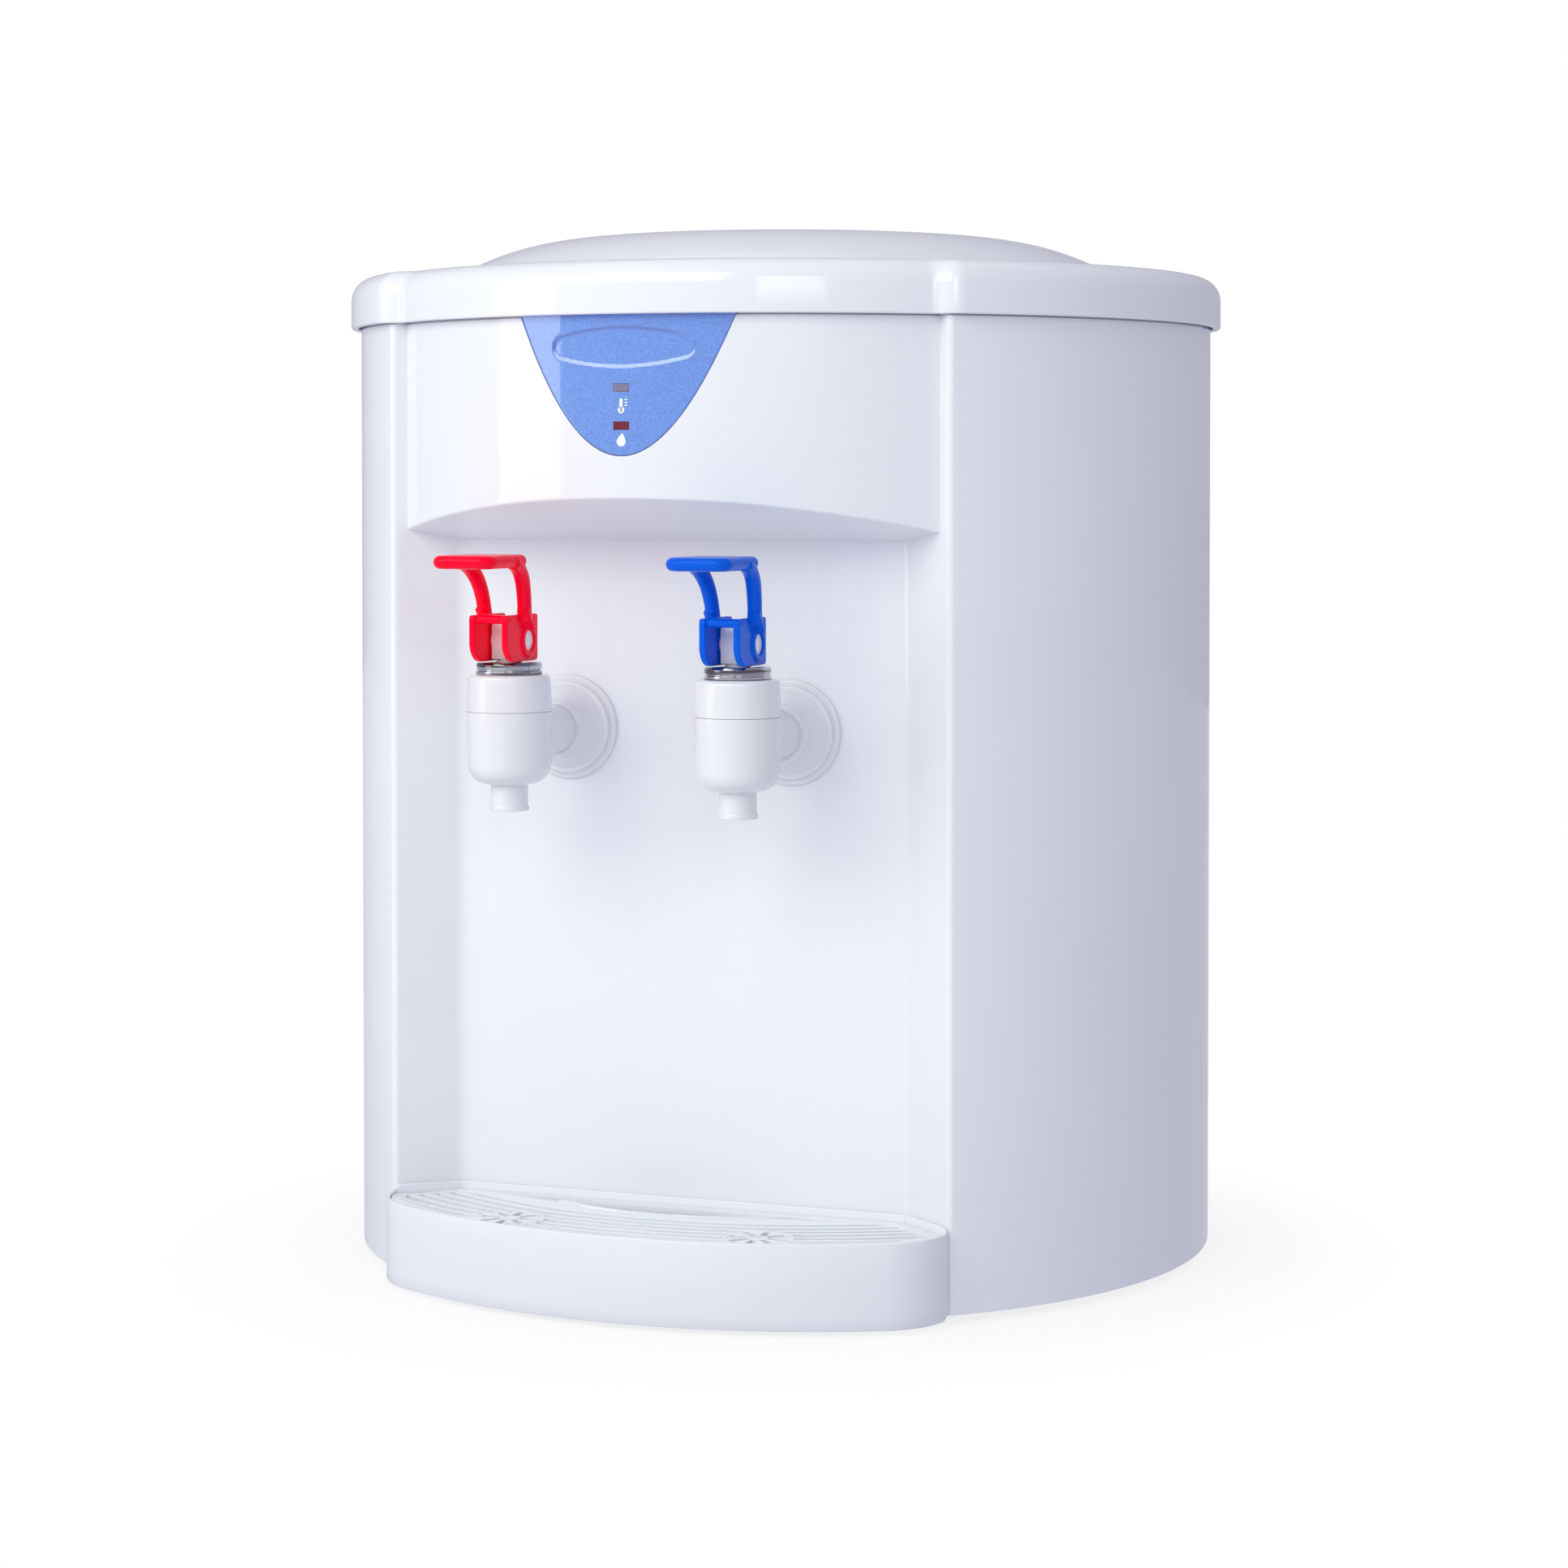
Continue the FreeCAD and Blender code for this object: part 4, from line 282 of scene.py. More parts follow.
def outward(form):
    """The same closed surface with its faces turned outwards, found from its signed volume."""
    points, faces = form
    a, b, c, d = (points[faces[:, n]] for n in range(4))
    volume = (np.cross(a, b) * c).sum() + (np.cross(a, c) * d).sum()
    return points, faces if volume > 0 else faces[:, ::-1]


def closed(loops):
    """A closed surface through loops of points, its two ends drawn to their middles."""
    first = np.broadcast_to(loops[0].mean(0), loops[0].shape)
    last = np.broadcast_to(loops[-1].mean(0), loops[-1].shape)
    return outward(net(np.concatenate([first[None], loops, last[None]]), round_u=True))


def turned(profile, centre, along="z", count=96):
    """A closed profile of (radius, height) turned about an axis: across is the radius times the
    cosine and sine of the turn, along is the height."""
    turn = full_turn(count)
    radius, height = profile[:, :1], profile[:, 1:]
    ring = [radius * np.cos(turn), radius * np.sin(turn), height + 0 * turn]
    if along == "y":
        ring = [ring[0], ring[2], ring[1]]
    return outward(net(np.stack(ring, -1) + np.array(centre), round_u=True, round_v=True))


def swept(path, wide, deep, count=28):
    """An oval carried along a path: each point is the path's plus the cosine of the turn times
    the half width across and its sine times the half depth square to that."""
    path = np.asarray(path, float)
    ahead = unit(np.gradient(path, axis=0))
    across = unit(np.cross(np.cross(ahead, [1.0, 0, 0]), ahead))
    square = np.cross(across, ahead)
    turn = full_turn(count)[None, :, None]
    wide, deep = (np.broadcast_to(half, len(path))[:, None, None] for half in (wide, deep))
    return closed(path[:, None] + np.cos(turn) * across[:, None] * wide
                  + np.sin(turn) * square[:, None] * deep)


def bezier(spots, count):
    """A cubic curve: its four points weighted by the products of what is left and what is gone."""
    gone = np.linspace(0, 1, count)[:, None]
    left = 1 - gone
    a, b, c, d = (np.array(spot, float) for spot in spots)
    return left ** 3 * a + 3 * left ** 2 * gone * b + 3 * left * gone ** 2 * c + gone ** 3 * d


def block(low, high, edge, count=5):
    """A box with rounded edges: rounded rectangles stacked along z, drawn in by the edge's
    radius less its circle's half chord at both ends."""
    low, high = np.array(low, float), np.array(high, float)
    turn = np.linspace(0, math.pi / 2, count)
    inset = edge * (1 - np.sin(turn))
    height = np.r_[low[2] + edge * (1 - np.cos(turn)), (high[2] - edge * (1 - np.cos(turn)))[::-1]]
    inset = np.r_[inset, inset[::-1]]
    loops = []
    for gap, level in zip(inset, height):
        (x0, y0), (x1, y1) = low[:2] + gap, high[:2] - gap
        flat = rounded_line([(x0, y0), (x1, y0), (x1, y1), (x0, y1)],
                            max(edge - gap, edge * 0.1), count)
        loops.append(np.c_[flat, np.full(len(flat), level)])
    return closed(np.array(loops))


def to_row(grid):
    """From the drum's axis and the casing's lower edge to the row's origin."""
    return grid + np.array([0, SEAM[1].y - sizes().drum, BASE])


@contextmanager
def edited(mesh):
    """The mesh opened for merging and cutting, and written back at the end."""
    work = bmesh.new()
    work.from_mesh(mesh)
    yield work
    work.to_mesh(mesh)
    work.free()


def link(name, mesh):
    thing = bpy.data.objects.new(name, mesh)
    bpy.context.scene.collection.objects.link(thing)
    return thing


def build(name, *forms):
    """One object from several surfaces, its doubled points merged, so that poles and seams
    close."""
    points = np.concatenate([form[0] for form in forms])
    shift = np.cumsum([0] + [len(form[0]) for form in forms])
    faces = np.concatenate([form[1] + step for form, step in zip(forms, shift)])
    mesh = bpy.data.meshes.new(name)
    mesh.from_pydata(points.tolist(), [], faces.tolist())
    with edited(mesh) as work:
        bmesh.ops.remove_doubles(work, verts=work.verts, dist=2e-6)
        bmesh.ops.dissolve_degenerate(work, edges=work.edges, dist=1e-6)
    return link(name, mesh)


def points_of(mesh):
    """The mesh's points as rows."""
    flat = np.empty(len(mesh.vertices) * 3)
    mesh.vertices.foreach_get("co", flat)
    return flat.reshape(-1, 3)


def smooth(mesh, angle=32):
    mesh.polygons.foreach_set("use_smooth", [True] * len(mesh.polygons))
    mesh.set_sharp_from_angle(angle=math.radians(angle))
    mesh.update()


def modified(thing, kind, **settings):
    """Add a modifier with its settings."""
    change = thing.modifiers.new(kind.title(), kind)
    for key, value in settings.items():
        setattr(change, key, value)
    return thing


def bevelled(thing, edge, angle):
    """Break the edges that are sharper than an angle."""
    return modified(thing, "BEVEL", width=edge, segments=2, limit_method="ANGLE",
                    angle_limit=math.radians(angle))


def applied(thing):
    """The object's modifiers worked into its mesh."""
    bpy.context.view_layer.update()
    done = bpy.data.meshes.new_from_object(thing.evaluated_get(
        bpy.context.evaluated_depsgraph_get()))
    thing.modifiers.clear()
    thing.data = done
    return thing


def combined(thing, operation, *forms):
    """Cut closed surfaces out of an object, or join them to it."""
    tool = build(thing.name + "_tool", *forms)
    applied(modified(thing, "BOOLEAN", operation=operation, solver="EXACT", object=tool))
    bpy.data.objects.remove(tool)


def dressed(thing, node, angle=32):
    """Smooth a piece and give it the finish, body and slot of the CAD node it stands for."""
    smooth(thing.data, angle)
    thing.data.materials.clear()
    thing.data.materials.append(finish_for(NODES[node]))
    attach(thing, frame["nodes"][node]["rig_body"])
    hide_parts(node)


def refined(node, edge, steps=2):
    """A copy of a CAD node, merged, its flat faces joined and its edges broken by a bevel."""
    mesh = frame["nodes"][node].data.copy()
    with edited(mesh) as work:
        bmesh.ops.remove_doubles(work, verts=work.verts, dist=1e-6)
        bmesh.ops.dissolve_limit(work, angle_limit=math.radians(0.4), verts=work.verts,
                                 edges=work.edges)
    thing = bevelled(link(node + "_dressed", mesh), edge, 35)
    thing.modifiers[0].segments = steps
    dressed(applied(thing), node)


# ---- finishes

class Value:
    """A socket that can be worked with as a number."""

    def __init__(self, nodes, socket):
        self.nodes, self.socket = nodes, socket

    def maths(self, operation, first, second):
        return self.nodes.add("ShaderNodeMath", {"operation": operation}, v0=first, v1=second)

    def __add__(self, other):
        return self.maths("ADD", self, other)

    def __mul__(self, other):
        return self.maths("MULTIPLY", self, other)

    def __sub__(self, other):
        return self.maths("SUBTRACT", self, other)

    def __rsub__(self, other):
        return self.maths("SUBTRACT", other, self)

    __radd__ = __add__
    __rmul__ = __mul__

    def step(self, low, high):
        """0 below low, 1 above high, and smooth between."""
        return self.nodes.add("ShaderNodeMapRange", {"interpolation_type": "SMOOTHSTEP"},
                              Value=self, From_Min=low, From_Max=high)


class Nodes:
    """A tree of nodes and the one way to add to it."""

    def __init__(self, tree):
        self.tree = tree

    def feed(self, socket, value):
        if isinstance(value, Value):
            self.tree.links.new(value.socket, socket)
        elif hasattr(value, "__len__") and len(value) == 3 and len(socket.default_value) == 4:
            socket.default_value = (*value, 1)
        else:
            socket.default_value = value

    def add(self, kind, settings=None, out=0, **inputs):
        """Any node: its settings first, then its sockets by name, or by number as v0, v1."""
        node = self.tree.nodes.new(kind)
        for key, value in (settings or {}).items():
            setattr(node, key, value)
        for key, value in inputs.items():
            spot = int(key[1:]) if key[0] == "v" and key[1:].isdigit() else key.replace("_", " ")
            self.feed(node.inputs[spot], value)
        return Value(self, node.outputs[out])

    def show(self, shown, end):
        self.tree.links.new(shown.socket, self.tree.nodes[end].inputs["Surface"])


class Finish(Nodes):
    """A material and its patterns."""

    def __init__(self, name):
        self.material = bpy.data.materials.new(name + "_finish")
        self.material.use_nodes = True
        super().__init__(self.material.node_tree)
        self.shader = self.tree.nodes["Principled BSDF"]
        self.place = self.add("ShaderNodeTexCoord", out="Object")

    def noise(self, scale, detail=3.0, place=None):
        return self.add("ShaderNodeTexNoise", Vector=place or self.place, Scale=scale,
                        Detail=detail)

    def stretched(self, x, y, z):
        """The object's coordinates, each times its own number."""
        return self.add("ShaderNodeVectorMath", {"operation": "MULTIPLY"}, v0=self.place,
                        v1=(x, y, z))

    def mixed(self, part, first, second):
        """The first colour where part is 0, the second where it is 1."""
        return self.add("ShaderNodeMix", {"data_type": "RGBA"}, out=2, v0=part, v6=first,
                        v7=second)

    def bump(self, height, depth):
        return self.add("ShaderNodeBump", Height=height, Distance=depth, Strength=1.0)

    def set(self, **inputs):
        for key, value in inputs.items():
            self.feed(self.shader.inputs[key.replace("_", " ")], value)
        return self.material


def shaded(tone, by):
    return tuple(min(1.0, part * by) for part in tone)


def moulded(name, tone, rough, coat=0.0, grain=0.00002, scale=1400.0, spread=0.02, **fixed):
    """Moulded plastic: a slow drift of tone, flow marks in the gloss and a fine skin."""
    made = Finish(name)
    drift = made.noise(9.0, 2.0)
    flow = made.noise(3.0, 4.0, made.stretched(14, 14, 3))
    skin = made.noise(scale, 2.0)
    return made.set(
        Base_Color=made.mixed(drift.step(0.3, 0.7), shaded(tone, 1 - spread),
                              shaded(tone, 1 + spread)),
        Roughness=flow * (rough * 0.5) + rough * 0.75 + skin * 0.02,
        Normal=made.bump(skin, grain), Coat_Weight=coat, Coat_Roughness=0.04, **fixed)


def turned_metal(name, tone, rough):
    """Metal with turning marks a tenth of a millimetre apart along z, and painted reflections:
    its colour runs in darker and brighter rings a millimetre or so wide, standing in for the
    bands of surroundings that bright metal mirrors."""
    made = Finish(name)
    marks = made.noise(1.0, 3.0, made.stretched(60, 60, 9000))
    rings = made.noise(1.0, 2.0, made.stretched(25, 25, 700))
    # Colour in darker and brighter rings: painted reflections of the surroundings, not a tone of
    # the metal.
    return made.set(Base_Color=made.mixed(rings.step(0.40, 0.58), shaded(tone, 0.30),
                                          shaded(tone, 1.12)), Metallic=1.0,
                    Roughness=marks * 0.07 + rough, Normal=made.bump(marks, 0.000006))


def speckled_blue(name, tone):
    """Badge blue with fine bright flakes, and painted shade: the colour darkens along the cut edge
    and round the oval's step, where shade falls in the gap and in the step.
    """
    made = Finish(name)
    flakes = made.add("ShaderNodeTexVoronoi", Vector=made.place, Scale=2600.0, out="Color")
    level = made.add("ShaderNodeSeparateColor", Color=flakes)
    fine = made.noise(900.0, 2.0)
    edge = made.add("ShaderNodeAttribute", {"attribute_name": "painted_gap_shade"}, out="Fac")
    tint = made.mixed(level.step(0.2, 0.95), shaded(tone, 0.90), shaded(tone, 1.16))
    # Where the stored value is 1 the colour turns to dark blue: painted shade for the gap round
    # the badge and for the oval's step.
    return made.set(Base_Color=made.mixed(edge, tint, (0.03, 0.09, 0.42)),
                    Roughness=0.30 + fine * 0.12, Coat_Weight=1.0, Coat_IOR=1.9,
                    Coat_Roughness=0.05, Normal=made.bump(level, 0.00001))


def tinted_window(name, tone):
    """A light pipe's clear tinted end, with faint ribs behind its face."""
    made = Finish(name)
    ribs = made.noise(1.0, 1.0, made.stretched(1800, 200, 200))
    return made.set(Base_Color=made.mixed(ribs, shaded(tone, 0.55), shaded(tone, 1.3)),
                    Roughness=0.12 + ribs * 0.1, Coat_Weight=1.0, Normal=made.bump(ribs, 0.00005))


def woven(name, tone):
    """Felted mineral fibre."""
    made = Finish(name)
    fibre = made.noise(1.0, 6.0, made.stretched(500, 500, 120))
    return made.set(Base_Color=made.mixed(fibre, shaded(tone, 0.6), tone), Roughness=0.95,
                    Normal=made.bump(fibre, 0.0006))


def board(name, tone):
    """Lacquered circuit board with tracks that show as lighter green."""
    made = Finish(name)
    tracks = made.add("ShaderNodeTexVoronoi", {"feature": "DISTANCE_TO_EDGE"},
                      Vector=made.place, Scale=260.0)
    line = 1 - tracks.step(0.04, 0.09)
    return made.set(Base_Color=made.mixed(line, tone, shaded(tone, 2.4)), Roughness=0.35,
                    Coat_Weight=0.5, Normal=made.bump(line, 0.00004))


def finish_for(slot):
    """The finish of one of the record's slots, made the first time it is asked for."""
    found = bpy.data.materials.get(slot + "_finish")
    if found:
        return found
    look = bpy.context.scene.dispenser_finishes
    others = {
        "bright_metal": (turned_metal, look.metal, 0.07),
        "steel": (turned_metal, (0.55, 0.55, 0.56), 0.28),
        "badge_blue": (speckled_blue, look.badge),
        "lilac_window": (tinted_window, look.lilac),
        "red_window": (tinted_window, look.garnet),
        "circuit_board": (board, (0.01, 0.12, 0.03)),
        "insulation": (woven, (0.72, 0.70, 0.62)),
    }
    if slot in others:
        make, *rest = others[slot]
        return make(slot, *rest)
    tone, rough, more = {
        "white_shell": (look.shell, look.gloss, {"spread": 0.008, "grain": 8e-7, "scale": 500.0}),
        "white_tap": (look.tap, 0.22, {"coat": 0.25, "spread": 0.01, "Subsurface_Weight": 0.05,
                                       "Subsurface_Radius": (0.002,) * 3}),
        "clear_white": (look.milky, 0.3, {"coat": 0.1, "Transmission_Weight": 0.12, "IOR": 1.45}),
        # The hot lever glows faintly in its own red: painted light that brightens it beyond what
        # the lamps give.
        "red_lever": (look.red, 0.2, {"Specular_IOR_Level": 0.10, "Emission_Color": look.red,
                                      "Emission_Strength": 0.04}),
        "blue_lever": (look.blue, 0.2, {"Specular_IOR_Level": 0.10}),
        "silicone": ((0.70, 0.70, 0.68), 0.5, {"grain": 5e-5, "spread": 0.04}),
        "grey_plastic": ((0.42, 0.43, 0.45), 0.45, {"grain": 8e-5}),
        "black_plastic": ((0.014, 0.014, 0.016), 0.38, {"grain": 6e-5, "spread": 0.2}),
        "red_rocker": ((0.55, 0.008, 0.012), 0.2, {"coat": 0.5, "spread": 0.08}),
        "white_fitting": ((0.74, 0.74, 0.75), 0.4, {"grain": 4e-5}),
        "foot_rubber": ((0.03, 0.03, 0.032), 0.8, {"grain": 1e-4, "spread": 0.2}),
        "badge_mark": ((0.86, 0.87, 0.92), 0.35, {}),
    }[slot]
    return moulded(slot, tone, rough, **more)


# ---- outlines of the casing

def crossing(size, radius, middle, shift):
    """Where a circle about a point ahead of the axis meets the niche's splayed wall, the wall
    moved sideways by shift: the nearer root of the two equations put together."""
    base = size.niche - size.splay * size.niche_back + shift * math.hypot(1, size.splay)
    steep = 1 + size.splay ** 2
    half = base * size.splay - middle
    ahead = (math.sqrt(half ** 2 - steep * (base ** 2 + middle ** 2 - radius ** 2)) - half) / steep
    return base + size.splay * ahead, ahead


def fascia_middle(size):
    """How far ahead of the axis the fascia's centre lies."""
    return size.fascia_reach - size.fascia


def lens(size, x, grow=0.0):
    """The fascia's distance ahead of the axis at x: its middle plus the circle's height."""
    return np.sqrt(np.maximum((size.fascia + grow) ** 2 - x ** 2, 0)) + fascia_middle(size)


def on_fascia(size, x, z, lift):
    """A point at x, z on the fascia, lifted off its face."""
    return np.stack([x, -lens(size, x, lift), z], -1)


def fascia_slab(size, x, z, front, rear):
    """A closed slab whose two faces follow the fascia at their own lifts."""
    return sandwich(*(to_row(on_fascia(size, x, z, lift)) for lift in (front, rear)))


def shield(size, grow, rows, cols):
    """The badge's x, height and distance from its slanting border on a grid: its width grows
    with the square root of the height above its tip."""
    rise = np.linspace(0, 1, rows)[:, None]
    side = np.linspace(-1, 1, cols)[None]
    half, drop = size.badge + grow, size.badge_drop + 2 * grow
    high = size.skirt + BADGE_TOP + grow - drop + drop * rise ** 2 + 0 * side
    return half * rise * side, high, (1 - np.abs(side)) * half * rise


def sandwich(front, rear):
    """A closed surface from two like grids: both faces and the strips round their borders."""
    points, face = net(front)
    index = np.arange(len(points)).reshape(front.shape[:2])
    ring = np.concatenate([index[0], index[1:, -1], index[-1, -2::-1], index[-2:0:-1, 0]])
    after, shift = np.roll(ring, -1), len(points)
    strip = np.stack([after, ring, ring + shift, after + shift], -1)
    return outward((np.concatenate([points, rear.reshape(-1, 3)]),
                    np.concatenate([face, face[:, ::-1] + shift, strip])))


def window_form(node, grow=0.1 * MM):
    """The straight part of a lamp window, grown all round, as a block through the casing."""
    low, high = (np.array(corner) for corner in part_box(node))
    inset = np.array([1.0 * MM - grow, -2 * MM, 1.0 * MM - grow])
    return block(low + inset, high - inset, 0.15 * MM, 3)


def collar_arc(start, stop, radius, count):
    """A shallow arc between two points of (radius, height), bulging away from the axis: its
    centre is on the chord's lower side, and the turn is even."""
    start, stop = np.array(start, float), np.array(stop, float)
    half = np.linalg.norm(stop - start) / 2
    centre = (start + stop) / 2 + left_of(stop - start) * math.sqrt(radius ** 2 - half ** 2)
    return arc(centre, radius, bearing(start, centre), bearing(stop, centre), count)


def cover_plan(size, grow):
    """The cover in plan, grown by each of several amounts.  Arcs of the drum, of a corner, of a
    dent and of the fascia follow one another; each touches the next, and all grow about their own
    centres, the dent's by getting smaller."""
    grow = np.atleast_1d(grow)[:, None]
    corner = np.array(crossing(size, size.drum - size.cover_corner, 0, size.cover_corner))
    bow = np.array([0, fascia_middle(size)])
    gap = np.linalg.norm(corner - bow)
    first, second = size.fascia + size.cover_dent, size.cover_corner + size.cover_dent
    along = (first ** 2 - second ** 2 + gap ** 2) / (2 * gap)
    dent = (bow + unit(corner - bow) * along
            + left_of(corner - bow) * math.sqrt(first ** 2 - along ** 2))
    lean, facing = bearing(corner), bearing(dent, corner)
    half = np.concatenate([
        arc((0, 0), size.drum + grow, -90, lean, 90)[:, :-1],
        arc(corner, size.cover_corner + grow, lean, facing, 12)[:, :-1],
        arc(dent, size.cover_dent - grow, facing + 180, bearing(bow, dent) + 360, 8)[:, :-1],
        arc(bow, size.fascia + grow, bearing(dent, bow), 90, 60)], 1) * [-1, -1]
    return np.concatenate([half, half[:, -2:0:-1] * [-1, 1]], 1)


# ---- operators

class Piece(Operator):
    """Base of the operators."""

    bl_options = {"REGISTER", "UNDO"}


class DISPENSER_OT_front_casing(Piece):
    """Front casing: drum sides, splayed niche, sloped ceiling and bowed fascia"""

    bl_idname = "dispenser.front_casing"
    bl_label = "Front Casing"

    def execute(self, context):
        size = sizes()
        thing = build("front_shell", net(to_row(self.wall_grid(size))))
        applied(modified(thing, "SOLIDIFY", thickness=size.wall, offset=-1))
        combined(thing, "DIFFERENCE", *self.openings(size))
        self.step_in(size, thing.data)
        dressed(thing, "front_casing")
        return {"FINISHED"}

    def wall_grid(self, size):
        """The casing's outer wall: columns stand on a foot line of drum, corner, splayed wall
        and niche.  Each climbs to the ceiling, runs out under the fascia by the depth that lies
        ahead of it, and climbs on."""
        back = size.niche_back
        corner = crossing(size, size.drum - size.corner, 0, size.corner)
        meet = crossing(size, size.fascia, fascia_middle(size), 0)
        lean = bearing(corner)
        drum = arc((0, 0), size.drum, -math.degrees(math.asin(LAP / size.drum)), lean, 40)
        bend = arc(corner, size.corner, lean, 180 - math.degrees(math.atan(size.splay)), 12)
        run = rounded_line([bend[-1], (size.niche, back), (0, back)],
                           [0, size.niche_round, 0], 14)
        inner = evenly(run[13:-13], 2.5 * MM, extra=[meet[0]])
        half = np.concatenate([drum[:-1], bend, inner[1:]]) * [-1, 1]
        foot = np.concatenate([half, half[-2::-1] * [-1, 1]])
        x, y = foot[:, 0], foot[:, 1]
        depth = np.where(np.abs(x) < meet[0], np.maximum(lens(size, x), y), y) - y
        slope = size.climb / (size.fascia_reach - back)
        low = size.niche_top + slope * (np.minimum(y, meet[1]) - back)
        zero = 0 * depth
        corners = np.stack([np.stack(spot, -1) for spot in (
            (zero, zero), (zero, low), (depth, low + slope * depth),
            (depth, zero + size.top))], 1)
        radii = np.stack([zero, np.minimum(0.8 * MM, depth * 0.3),
                          np.minimum(1.2 * MM, depth * 0.2), zero], -1)
        line = rounded_line(corners, radii, 9)
        part = bunched(41)[None, :, None]
        few = part[:, ::4]

        def run_up(last, shares):
            """Points between one arc's last point and the next arc's first."""
            return line[:, last:last + 1] * (1 - shares) + line[:, last + 1:last + 2] * shares

        path = np.concatenate([run_up(8, part), line[:, 10:17], run_up(17, few),
                               line[:, 19:26], run_up(26, few)], 1)
        return np.stack([np.broadcast_to(x[:, None], path.shape[:2]),
                         -(y[:, None] + path[..., 0]), path[..., 1]], -1).transpose(1, 0, 2)

    def openings(self, size):
        """The badge's seat, the two windows' holes and the taps' holes."""
        x, z, _ = shield(size, 0.15 * MM, 60, 61)
        hole = np.array([(0, -0.03), (TAP_HOLE, -0.03), (TAP_HOLE, 0.03), (0, 0.03)])
        washers = (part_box(side + "_tap_washer") for side in TAPS)
        return [fascia_slab(size, x, z, 2 * MM, -1.25 * MM), *map(window_form, WINDOWS),
                *(turned(hole, (low + high) / 2, "y", 48) for low, high in washers)]

    def step_in(self, size, mesh):
        """Cut the walls twice at the sill and draw everything above towards the axis, so that
        a ledge runs under the cover's skirt."""
        with edited(mesh) as work:
            for level in (SILL, SILL - 0.02 * MM):
                bmesh.ops.bisect_plane(work, geom=[*work.verts, *work.edges, *work.faces],
                                       plane_co=(0, 0, BASE + size.skirt - level),
                                       plane_no=(0, 0, 1))
        spot, axis = points_of(mesh), to_row(np.zeros(3))
        above = spot[:, 2:] > axis[2] + size.skirt - SILL + 0.01 * MM
        drawn = axis[:2] + (spot[:, :2] - axis[:2]) * (1 - size.step / size.drum)
        spot[:, :2] = np.where(above, drawn, spot[:, :2])
        mesh.vertices.foreach_set("co", spot.ravel())


class DISPENSER_OT_rear_casing(Piece):
    """Rear casing: half drum with a flat service face and a field of vent slots"""

    bl_idname = "dispenser.rear_casing"
    bl_label = "Rear Casing"

    def execute(self, context):
        size = sizes()
        start, vent = (math.degrees(math.asin(span / size.drum)) for span in (LAP, VENTS))
        flat = math.degrees(math.acos(SERVICE_FACE / size.drum))
        marks = [start, 90 - flat, 90 - vent, 90 + vent, 90 + flat, 180 - start]
        turn = np.concatenate([np.linspace(a, b, n)[:-1] for a, b, n in
                               zip(marks[:-1], marks[1:], (40, 14, 24, 14, 40))] + [[marks[-1]]])
        x, y = size.drum * np.cos(np.radians(turn)), size.drum * np.sin(np.radians(turn))
        levels = np.r_[0, SERVICE_LEVELS, VENT_LEVELS.ravel(), size.skirt - SILL, size.top]
        rows, inset = [], []
        for a, b in zip(levels[:-1], levels[1:]):
            rows.append(a + (b - a) * bunched(3 if b - a < 10 * MM else 13))
            inset.append(np.full(len(rows[-1]), abs(a - SERVICE_LEVELS[0]) < 1e-6))
        rows, inset = np.concatenate(rows)[:, None], np.concatenate(inset)[:, None]
        depth = np.where(inset & (y > SERVICE_FACE), SERVICE_FACE, y)
        grid = np.stack([x + 0 * rows, depth, rows + 0 * x], -1)
        grid[-13:, :, :2] *= 1 - size.step / size.drum
        points, faces = net(to_row(grid))
        middle = points[faces].mean(1) - to_row(np.zeros(3))
        slots = (middle[:, 2:] > VENT_LEVELS[:, 0]) & (middle[:, 2:] < VENT_LEVELS[:, 1])
        gone = slots.any(1) & (np.abs(middle[:, 0]) < VENTS) & (middle[:, 1] > 0)
        thing = build("rear_shell", (points, faces[~gone]))
        modified(thing, "SOLIDIFY", thickness=size.wall, offset=-1)
        dressed(applied(bevelled(thing, 0.4 * MM, 40)), "rear_casing")
        return {"FINISHED"}


